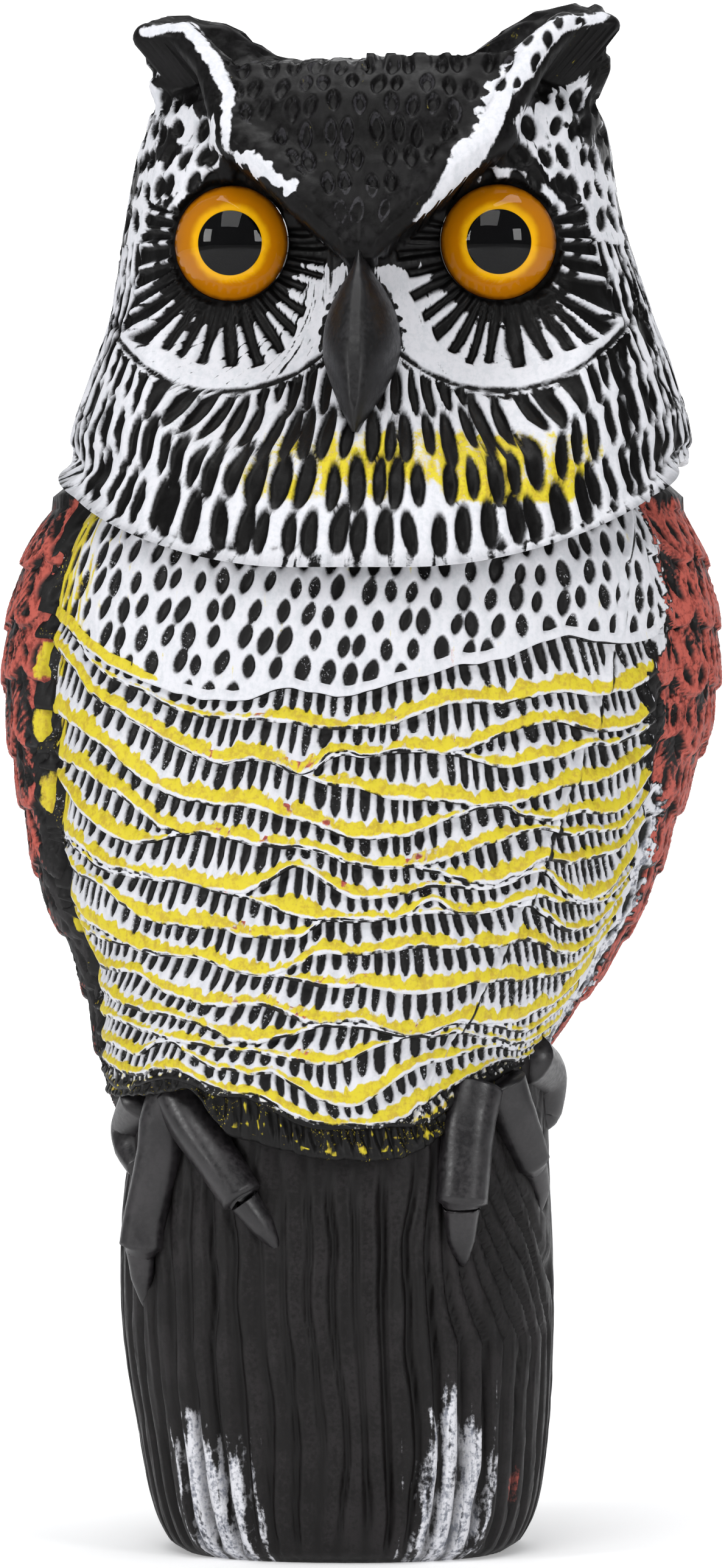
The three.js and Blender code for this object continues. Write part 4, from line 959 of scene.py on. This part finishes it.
def build_head():
    t = np.arange(HEAD_COLUMNS) / HEAD_COLUMNS
    deg = -180 + 360 * (t + 0.5 * np.sin(2 * math.pi * t) / (2 * math.pi))
    rim = head_rim(deg)
    p = head_surface(rim)
    x, y, z = p[..., 0], p[..., 1], p[..., 2]
    d = np.broadcast_to(deg, z.shape)
    normal = normals_of(p)

    # Where things are: brow, ear hollow, eye, rim, and the regions that are carved and painted differently.
    m = mirrored(x, y, z)
    brow, brow_at = limb_distance(BROW, *m)
    hollow, _ = limb_distance(EAR_HOLLOW, *m)
    brow_shares = np.linspace(0, 1, len(BROW))
    spot = np.array([np.interp(brow_at, brow_shares, [b[k] for b in BROW]) for k in range(3)])
    inner = (spot[0] - m[0]) * 0.8 + (m[2] - spot[2]) * 0.6
    rho, fan, groove, odd = radial_flutes(x, z, np.where(x > 0, 1.0, -1.0))
    above = z - rim_height(d)
    arc = np.radians(d) * HEAD_ARC
    front_face = (normal[..., 1] < -0.05) & (y < -20)
    facing = ease(-y, 34, 12) * front_face
    upper = (fan > 0.5) & (fan < 2.75)
    disc = facing * (rho < 38.5) * (brow > 0.6) * (hollow > 0.5) * ~upper
    # The crease round each disc's lower half, painted black further down as the shadow under the disc's edge.
    crease = np.where((facing > 0.5) & (z < EYE_Z) & (brow > 1), 0.7 - np.abs(rho - DISC_RIM), BARE)
    side = ease(np.abs(d), 60, 14)
    behind = ease(np.abs(d), 105, 30)

    # Slots: the ruff, the mottled cheeks, the dimpled crown and the flutes of the discs.
    ruff = slot_field(arc + grain(arc, z, (1.4, 15, 15, 5)), above - 2.8 + 0.8 * np.sin(arc / 19.0),
                      6.4, 13.0, 2.36, 7.15, 3.0, power=2.0, jitter=0.2, lean=0.1)
    mottles = slot_field(np.abs(x) + 0.4 * y, z, 6.5, 8.0, 2.3, 3.1, 43.0, power=1.8, jitter=0.3, lean=0.5)
    dimples = slot_field(x, (z + y) * 0.72, 6.4, 7.4, 1.6, 3.2, 33.0, power=1.6, jitter=0.25)
    crown = (z > 352) & (brow > 0.4) & ((inner > 0) | (hollow < 1.5) & (z > 388)) & (np.abs(d) < 125)
    crown = crown | (y > 0) & (z > 390 + 2.0 * wander(arc / 9.0, 72.0))
    cheek = ((z > 350) | upper & (facing > 0.5) & (rho < 40)) & ~crown & (np.abs(d) < 95)
    slots = np.where(cheek, mottles, ruff)
    slots = np.where(crown, dimples, slots)
    slots = np.where(disc > 0.5, groove, slots)
    ripple = 0.6 * wander(arc / 7.0, 66.0)
    slots = np.where(above < 1.7 + 0.5 * ripple + 0.5 * wander(arc / 1.9, 68.0), BARE, slots)
    slots = np.where((brow < 0.6) | (crease > -0.4), -2.0, slots)

    # Carving, in millimetres below the surface, and level seats for the eyes.
    hair = wander2(brow_at * 60.0, inner / 3.0, 8.0)
    deep = np.where(disc > 0.5, 1.6, np.where(crown, 1.3, 1.5))
    relief = 0.35 + deep * smooth((slots + 0.35) / 0.9)
    relief += 0.16 * np.where(crown, wander2(x / 2.6, (z + y) / 3.6, 14.0), grain(arc, z, (1, 2.2, 5, 14)))
    relief += 0.22 * np.where(crown, 0, hair) * ease(3, brow, 3)
    relief += 0.8 * peak(above - 4.0, ripple, 0.9)
    relief += 1.0 * peak(rho, DISC_RIM, 0.9) * facing * (z < EYE_Z + 4) * (brow > 1)
    relief += 0.7 * ease(z, 408, 4)
    beads = smooth((np.cos(x * 2 * math.pi / 7.5) + 0.2) / -0.6) * peak(z, 398, 2.5)
    relief += 0.9 * beads * crown
    sunk = ease(EYE_DIAMETER / 2 + 1.0, rho, 0.8) * (y < -35) * (z > SOCKET_LOW) * (z < SOCKET_HIGH)
    relief = np.maximum(relief, LEAST)
    p = p - normal * relief[..., None]
    seat = EYE_Y + SEAT_BEHIND + (np.abs(p[..., 0]) - EYE_X) * math.tan(math.radians(EYE_YAW))
    p[..., 1] = mix(p[..., 1], np.maximum(p[..., 1], seat), sunk)

    # White on the brows and cheeks, in strokes across each brow.
    strokes = 0.9 * wander2(brow_at * 62.0, inner / 2.4, 18.0)
    strokes += 1.0 * wander2(brow_at * 50.0, inner / 8.0, 28.0)
    band = np.where(x > 0, band_field(LEFT_BAND, x, z) + 1.5 * strokes * smooth((inner + 0.5) / 2.0),
                    band_field(RIGHT_BAND, x, z) + 0.5 * strokes)
    dabbed = band_field(RIGHT_DABS, x, z) + 1.7 * strokes - 0.2
    band = np.where(x < 0, np.maximum(band, dabbed), band)
    band = np.where(front_face & (z > 345) & (brow < 6), band, BARE)
    band = np.where((brow > 1.2) & (inner < 0), BARE, band)
    speck = grain(arc, z, (1.7, 1.6, 3.2, 48)) - 0.2
    left_patches = np.maximum(band_field(LEFT_SMEAR, x, z), band_field(LEFT_CHEEK, x, z) - 0.3)
    right_patches = np.maximum(band_field(RIGHT_EAR_DABS, x, z), band_field(RIGHT_CHEEK, x, z))
    patches = np.where(x > 0, left_patches, right_patches)
    dabs = np.where((y < -12) & ~crown & (disc < 0.5), np.minimum(patches, 1.2) + speck + 0.3, BARE)

    # White on the ridges between the discs' flutes, scratched, and left off beside the beak as painted shade.
    down = smooth((-np.sin(fan) + 0.1) / 0.35)
    beak_shade_reach = np.interp(z, [row[0] for row in BEAK[::-1]], [row[1] for row in BEAK[::-1]]) + 3.0
    start = 20.5 + 2.6 * odd - 1.5 * ease(-np.cos(fan), 0.4, 0.3)
    lobes = np.minimum(-groove + 0.12, (rho - start) * 0.8)
    lobes = lobes - 3.0 * (1 - down) * (np.cos(fan) < 0.55) - 0.25 * (1 - down)
    scratch = wander2(fan * rho / 1.1, rho / 7.0, 86.0) + 0.5 * wander2(fan * rho / 0.7, rho / 2.5, 88.0)
    lobes = np.minimum(lobes, 1.1) + np.where(x > 0, 1.0, 1.4) * scratch * (rho > 21) + 0.1
    medial = ease(-np.cos(fan), 0.4, 0.2)
    lobes -= 4.0 * medial * ease(z - 341.0, 2.2 * wander(x / 1.7, 74.0), 3.0)
    lobes += medial * (0.5 * wander2(x / 1.1, (z + 0.6 * np.abs(x)) / 4.0, 76.0) + np.where(x > 0, 0.2, -0.3))
    # Painted shade along both sides of the beak: a ragged strip without white.
    lobes -= 2.5 * ease(beak_shade_reach - 1.2 + 1.2 * wander(z / 1.6, 78.0), np.abs(x), 2.0)

    # White on the ruff and the sides, thinner towards the back, with worn flecks along the rim, and less
    # white in a painted shadow under each disc.
    ridges = 0.5 - slots + grain(arc, z, (0.7, 6, 7, 36))
    ridges = ridges - 0.7 * side - 1.1 * behind - np.where(crown, 5.0, 0.0)
    # Painted shadow: less white in a band just under each disc's lower edge.
    disc_edge_shadow = peak(rho, 41.0, 1.6) * facing * (z < EYE_Z - 10)
    ridges -= 1.0 * disc_edge_shadow
    patchy = grain(arc, z, (1.3, 8, 8, 52)) - 0.35 - 1.2 * ease(z, 386, 8)
    patchy -= 4.0 * ease(52, np.abs(x), 6)
    ridges = np.where(cheek, np.minimum(-mottles, patchy), ridges)
    ridges = np.where(above < 3.4 + ripple, 0.9 - slots * (slots > 0) - 1.4 * behind
                      + grain(arc, above, (1.9, 1.3, 1.1, 70)), ridges)
    ridges = np.where(((brow < 1.2) | (np.abs(x) < 9)) & (z > 341), BARE, ridges)
    white = np.where(disc > 0.5, lobes, ridges)
    white = np.maximum.reduce([white, band, dabs])
    ring = np.minimum(1.1 - np.abs(rho - 18.1), 4.0 * np.cos(fan - np.where(x > 0, 0.6, 0.45))
                      - np.where(x > 0, 1.2, 3.1))
    white = np.where(facing > 0.5, np.maximum(white, ring), white)
    rim_shade = grain(arc, z, (1.5, 1, 1, 62), (1.2, 8, 9, 64))
    white = np.where(above < 2.2, np.minimum(white, 0.5 - rim_shade), white)

    # Yellow on the ruff under the beak, black in the slots, and grey painted highlights round the crown's
    # dimples.
    zone = ease(54, np.abs(x - 14.5), 12) * ease(301, z, 5) * ease(z, 276, 5) * (y < 0)
    yellow = 1.5 * zone - 1.45 + grain(arc, z, (0.9, 7, 7, 57), (0.4, 1.5, 4, 59))
    yellow = np.where(disc > 0.5, BARE, yellow)
    # Black in the slots, and painted shadow along the crease under each disc's lower edge.
    dark = np.maximum(slots, crease + grain(arc, z, (0.3, 3, 3, 81)))
    dark = np.where(crown, -1.0, dark)
    dark = np.where(band > 0.2, np.where((x > 0) & (z > 388), dimples - 0.1, -1.0), dark)
    dark = np.where(sunk > 0.15, 2.0, dark)
    # Painted highlight: a grey ring round each dimple's edge stands for the gloss on the black crown; it goes
    # in the rust layer.
    wear_and_sheen = 0.5 - 3.0 * np.abs(dimples - 0.15) + grain(x, z, (0.9, 8, 8, 91))
    wear_and_sheen = np.where(crown & (z < 400), wear_and_sheen, BARE)

    sheet = Sheet()
    add_head_lining(sheet, deg, rim)
    for row in range(HEAD_ROWS):
        sheet.add(p[row] + [NECK_X, NECK_Y, 0], white=white[row], yellow=yellow[row], dark=dark[row],
                  rust=wear_and_sheen[row])
    up = np.array([0.0, 0.0, 1.0])
    top = HEAD_MIDDLE + up * head_reach(up[None])[0] - [0, 0, 0.4] + [NECK_X, NECK_Y, 0]
    sheet.add(np.broadcast_to(top, (HEAD_COLUMNS, 3)), dark=-1.0)
    return sheet.mesh("owl_head", closed=True)


def build_beak():
    table = np.asarray(BEAK[::-1], float)
    padded = np.concatenate([table, np.zeros((len(table), 1))], 1)
    turn = np.radians(np.linspace(-90, 90, 33))
    sheet = Sheet()
    for z in np.concatenate([[296.52], np.linspace(296.6, 346.9, 70), [346.98]]):
        half, ridge, root, _ = section_at(padded, np.array(z))
        full = np.maximum(np.cos(turn), 0) ** 0.85
        x = half * np.sin(turn)
        crease = 0.5 * peak(x, 0, 0.7) * ease(z, 300, 6)
        pore = 0.12 * (1 + wander2(x / 1.2, np.full(x.shape, z / 1.6), 3.0))
        y = mix(root, ridge, full) + (crease + pore) * full
        sheet.add(placed(x + NECK_X, y + NECK_Y, z), dark=-1.0 + 2.0 * peak(x, 0, 0.9), white=-2.0)
    return sheet.mesh("owl_beak", closed=True)


def lathe(name, profile, sides, side):
    """A turned piece on an eye's axis: the profile's pairs are a radius and a distance before the seat."""
    yaw = math.radians(EYE_YAW) * side
    out = np.array([math.sin(yaw), -math.cos(yaw), 0])
    across = np.array([math.cos(yaw), math.sin(yaw), 0])
    centre = np.array([NECK_X + side * EYE_X, NECK_Y + EYE_Y, EYE_Z])
    turn = np.arange(sides) / sides * 2 * math.pi
    sheet = Sheet()
    for radius, front in profile:
        line = centre + out * front + across * (np.cos(turn) * radius)[:, None]
        sheet.add(line + np.array([0, 0, 1]) * (np.sin(turn) * radius)[:, None])
    return sheet.mesh(name, closed=True)


PUPIL_RADIUS = 7.7


def build_eye(side, label):
    radius = EYE_DIAMETER / 2
    sphere = (radius ** 2 + EYE_DOME ** 2) / (2 * EYE_DOME)
    arc = math.asin(radius / sphere)
    dome = [(0.02, -0.6), (radius * 0.5, -0.6), (radius - 0.1, -0.6), (radius, -0.4)]
    for turn in np.linspace(arc, 0.001, 26):
        dome.append((sphere * math.sin(turn), EYE_DOME - sphere + sphere * math.cos(turn)))
    dome = lathe(label + "_eye_dome", dome, 72, side)
    ring = [(0.02, -0.3), (radius - 0.5, -0.3), (radius - 0.5, 0.0), (PUPIL_RADIUS + 1, 0.15),
            (PUPIL_RADIUS - 0.5, 0.2), (0.02, 0.2)]
    disc = [(0.02, 0.22), (PUPIL_RADIUS - 0.1, 0.22), (PUPIL_RADIUS, 0.3), (PUPIL_RADIUS - 0.1, 0.38),
            (0.02, 0.4)]
    return dome, lathe(label + "_eye_iris", ring, 72, side), lathe(label + "_eye_pupil", disc, 64, side)


# Materials.

def linear(r, g, b):
    return tuple((c / 255 / 12.92 if c / 255 <= 0.04045 else ((c / 255 + 0.055) / 1.055) ** 2.4)
                 for c in (r, g, b)) + (1.0,)


class Shader:
    """Short calls for a material's nodes."""

    def __init__(self, name):
        self.material = bpy.data.materials.new(name)
        self.material.use_nodes = True
        self.tree = self.material.node_tree
        self.bsdf = self.tree.nodes["Principled BSDF"]
        self.place = self.tree.nodes.new("ShaderNodeTexCoord").outputs["Object"]

    def put(self, socket, value):
        if isinstance(value, bpy.types.NodeSocket):
            self.tree.links.new(value, socket)
        else:
            socket.default_value = value

    def set(self, **values):
        for key, value in values.items():
            self.put(self.bsdf.inputs[key.replace("_", " ")], value)

    def node(self, kind, inputs=None, **settings):
        node = self.tree.nodes.new("ShaderNode" + kind)
        for key, value in settings.items():
            setattr(node, key, value)
        for key, value in (inputs or {}).items():
            self.put(node.inputs[key], value)
        return node

    def field(self, name):
        return self.node("Attribute", attribute_name=name).outputs["Fac"]

    def math(self, kind, a, b=0.0):
        return self.node("Math", {0: a, 1: b}, operation=kind).outputs[0]

    def times(self, a, b):
        return self.math("MULTIPLY", a, b)

    def swing(self, noise, reach):
        """A noise of 0 to 1 turned into one about zero, of the given reach from lowest to highest."""
        return self.times(self.math("SUBTRACT", noise, 0.5), reach)

    def noise(self, scale, detail=3.0, stretch=None):
        place = self.place
        if stretch:
            place = self.node("Mapping", {"Scale": stretch, "Vector": place}).outputs[0]
        inputs = {"Scale": scale, "Detail": detail, "Roughness": 0.6, "Vector": place}
        return self.node("TexNoise", inputs).outputs[0]

    def step(self, value, low, high, to_low=0.0, to_high=1.0):
        """A smooth step from to_low up to to_high, as the value goes from low to high."""
        ends = {"From Min": low, "From Max": high, "To Min": to_low, "To Max": to_high}
        return self.node("MapRange", {"Value": value, **ends}, interpolation_type="SMOOTHSTEP").outputs[0]

    def blend(self, share, a, b):
        return self.node("Mix", {0: share, 6: a, 7: b}, data_type="RGBA").outputs[2]

    def bump(self, height, strength, distance=0.0003):
        node = self.node("Bump", {"Strength": strength, "Distance": distance, "Height": height})
        self.put(self.bsdf.inputs["Normal"], node.outputs[0])


BLACK, BLACK_WORN = linear(15, 14, 14), linear(36, 34, 35)
WHITE, WHITE_SOFT, WHITE_THIN = linear(216, 216, 221), linear(205, 207, 212), linear(124, 127, 137)
YELLOW, YELLOW_THIN = linear(211, 194, 48), linear(190, 164, 50)
RUST, RUST_THIN = linear(184, 90, 78), linear(128, 56, 49)


def painted(name, black=BLACK, wear_and_sheen=BLACK_WORN, thin=WHITE_SOFT, rust=(RUST, RUST_THIN), brush=1.0,
            softness=0.35, roughness=0.5, speckle=0.0, shine=0.22):
    """Black plastic with dry-brushed paints, each laid on where its field is above zero."""
    s = Shader(name)
    fine = s.noise(900.0, 3.0)
    drag = s.noise(420.0, 4.0, stretch=(1.0, 1.0, 0.35))
    wide = s.noise(60.0, 2.0)
    wobble, bristles = s.swing(drag, 2.4 * brush), s.swing(fine, 1.6 * brush)
    color = s.blend(s.step(s.math("ADD", fine, wide), 0.85, 1.25), black, wear_and_sheen)

    def cover(key, color, thick, thin):
        value = s.math("ADD", s.math("ADD", s.field(key), wobble), bristles)
        tone = s.blend(s.step(s.math("ADD", fine, drag), 0.78, 1.12), thin, thick)
        return s.blend(s.step(value, -softness, softness), color, tone)

    color = cover("white", color, WHITE, thin)
    color = cover("rust", color, *rust)
    color = cover("yellow", color, YELLOW, YELLOW_THIN)
    dark = s.math("ADD", s.field("dark"), s.times(bristles, 0.5))
    share = s.step(dark, -softness, softness)
    if speckle:
        flecks = s.step(s.noise(1500.0, 2.0), 0.60, 0.68)
        patch = s.step(s.noise(130.0, 1.0), 0.52, 0.60)
        share = s.math("SUBTRACT", share, s.times(s.times(flecks, patch), speckle))
    color = s.blend(share, color, black)
    gloss = s.step(s.math("ADD", fine, drag), 0.6, 1.4, roughness - 0.1, roughness + 0.12)
    s.set(Base_Color=color, Roughness=gloss, Specular_IOR_Level=shine)
    s.bump(fine, 0.18)
    return s.material


def plastic(name, color, wear_and_sheen, roughness, shine=0.5):
    s = Shader(name)
    fine, wide = s.noise(700.0, 3.0), s.noise(90.0, 2.0)
    s.set(Base_Color=s.blend(s.step(s.math("ADD", fine, wide), 0.8, 1.3), color, wear_and_sheen),
          Specular_IOR_Level=shine, Roughness=s.step(fine, 0.3, 0.7, roughness - 0.06, roughness + 0.1))
    s.bump(fine, 0.15)
    return s.material


def eye_glass():
    s = Shader("clear_dome")
    haze = s.noise(60.0, 2.0)
    s.set(Base_Color=(1, 1, 1, 1), Transmission_Weight=1.0, IOR=1.3,
          Roughness=s.step(haze, 0.3, 0.8, 0.008, 0.02))
    return s.material


def eye_amber(side):
    s = Shader("amber_paint_" + ("left" if side > 0 else "right"))
    eye = ((NECK_X + side * EYE_X) / 1000, (NECK_Y + EYE_Y) / 1000, EYE_Z / 1000)
    gap = s.node("VectorMath", {0: s.place, 1: eye}, operation="DISTANCE")
    streak = s.noise(300.0, 3.0)
    far = s.math("ADD", gap.outputs["Value"], s.swing(streak, 0.0016))
    color = s.blend(s.step(far, 0.0082, 0.0104), linear(255, 190, 16), linear(204, 126, 5))
    color = s.blend(s.step(far, 0.0134, 0.0152), color, linear(110, 58, 4))
    s.set(Base_Color=color, Roughness=0.4, Specular_IOR_Level=0.0)
    s.bump(streak, 0.1, 0.0002)
    return s.material


def dress(obj, material, body, slot, *nodes):
    obj.data.materials.append(material)
    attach(obj, body)
    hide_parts(*nodes)


feather_paint = painted("feather_paint", brush=0.5, softness=0.26, speckle=0.6)
wing_paint = painted("wing_paint", thin=WHITE_THIN, brush=0.9, softness=0.5)
stump_paint = painted("stump_paint", black=linear(16, 14, 14), wear_and_sheen=linear(34, 31, 32), thin=WHITE_THIN,
                      softness=0.5)
# On the head the rust layer is grey and holds painted highlights round the crown's dimples.
head_paint = painted("head_paint", black=linear(7, 6, 6), wear_and_sheen=linear(18, 17, 18), brush=0.65, softness=0.35,
                     rust=(linear(52, 51, 54), linear(28, 27, 29)), roughness=0.42, shine=0.13)
foot_plastic = plastic("foot_plastic", linear(20, 18, 20), linear(40, 37, 39), 0.36)
beak_plastic = plastic("beak_plastic", linear(12, 11, 12), linear(27, 26, 28), 0.44, shine=0.35)
post_plastic = plastic("post_plastic", linear(22, 21, 22), linear(36, 35, 37), 0.5)
pupil_paint = plastic("pupil_paint", linear(3, 3, 4), linear(7, 7, 8), 0.3, shine=0.0)
glass = eye_glass()

for build, material in ((build_belly, feather_paint), (build_wings, wing_paint), (build_stump, stump_paint),
                        (build_feet, foot_plastic), (build_neck, post_plastic)):
    dress(build(), material, "body", "body_plastic", "body")
for build, material in ((build_head, head_paint), (build_beak, beak_plastic)):
    dress(build(), material, "head", "head_plastic", "head")
for side, label in ((1, "left"), (-1, "right")):
    dome, iris, pupil = build_eye(side, label)
    dress(dome, glass, "head", "eye_dome", label + "_eye")
    dress(iris, eye_amber(side), "head", "eye_dome", label + "_eye")
    dress(pupil, pupil_paint, "head", "eye_dome", label + "_eye")


# The floor, the light and the camera.

FLOOR_HALF, WALL_HEIGHT, SWEEP = 6.0, 6.0, 1.0


def build_floor():
    profile = [(-FLOOR_HALF, 0.0)]
    for i in range(13):
        turn = math.pi / 2 * i / 12
        profile.append((FLOOR_HALF - SWEEP + SWEEP * math.sin(turn), SWEEP - SWEEP * math.cos(turn)))
    profile.append((FLOOR_HALF, WALL_HEIGHT))
    points = [[x * 1000, y * 1000, z * 1000] for y, z in profile for x in (-FLOOR_HALF, FLOOR_HALF)]
    points = np.array(points).reshape(len(profile), 2, 3)[:, ::-1]
    floor = make_mesh("studio_floor", points, grid_faces(len(profile), 2, False))
    s = Shader("floor_paper")
    s.set(Base_Color=s.blend(s.noise(3.0, 2.0), linear(250, 250, 251), linear(252, 252, 252)), Roughness=0.9,
          Specular_IOR_Level=0.1, Emission_Color=(1, 1, 1, 1), Emission_Strength=0.22)
    floor.data.materials.append(s.material)


# Each light's name, place, size and power, and the point that it faces.
OWL_MIDDLE, WALL = (0, 0, 0.22), (0, 6.0, 0.7)
LIGHTS = [
    ("left_window", (-1.65, -1.35, 0.85), (0.55, 0.75), 15, OWL_MIDDLE),
    ("right_window", (1.45, -1.65, 0.85), (0.55, 0.75), 13, OWL_MIDDLE),
    ("front", (-0.3, -1.6, 1.9), (1.2, 1.2), 17, OWL_MIDDLE),
    ("top", (0.1, 0.1, 2.1), (1.4, 1.4), 22, OWL_MIDDLE),
    ("backdrop", (0.0, 3.2, 3.0), (5.0, 1.0), 150, WALL),
]


def area_light(name, at, size, power, faced):
    data = bpy.data.lights.new(name, "AREA")
    data.shape = "RECTANGLE"
    data.size, data.size_y = size
    data.energy = power
    lamp = bpy.data.objects.new(name, data)
    lamp.location = at
    lamp.rotation_euler = (Vector(faced) - Vector(at)).to_track_quat("-Z", "Y").to_euler()
    bpy.context.collection.objects.link(lamp)


build_floor()
for light in LIGHTS:
    area_light(*light)
world = bpy.data.worlds.new("studio")
bpy.context.scene.world = world
world.use_nodes = True
world.node_tree.nodes["Background"].inputs["Color"].default_value = (0.95, 0.97, 1.0, 1)
world.node_tree.nodes["Background"].inputs["Strength"].default_value = 0.27
bpy.context.scene.view_settings.view_transform = "Standard"

AZIMUTH, DISTANCE, EYE_LEVEL, ASIDE = math.radians(4), 2.0, 0.205, 0.0049
IMAGE_HEIGHT, SCALE_MM, SENSOR = 2576, 0.16362, 36
right = Vector((math.cos(AZIMUTH), math.sin(AZIMUTH), 0))
forward = Vector((-math.sin(AZIMUTH), math.cos(AZIMUTH), 0))
camera_data = bpy.data.cameras.new("camera")
camera_data.sensor_width = SENSOR
camera_data.lens = DISTANCE * SENSOR / (IMAGE_HEIGHT * SCALE_MM / 1000)
camera = bpy.data.objects.new("camera", camera_data)
camera.location = right * ASIDE - forward * DISTANCE + Vector((0, 0, EYE_LEVEL))
camera.rotation_euler = (math.radians(90), 0, AZIMUTH)
bpy.context.collection.objects.link(camera)
bpy.context.scene.camera = camera
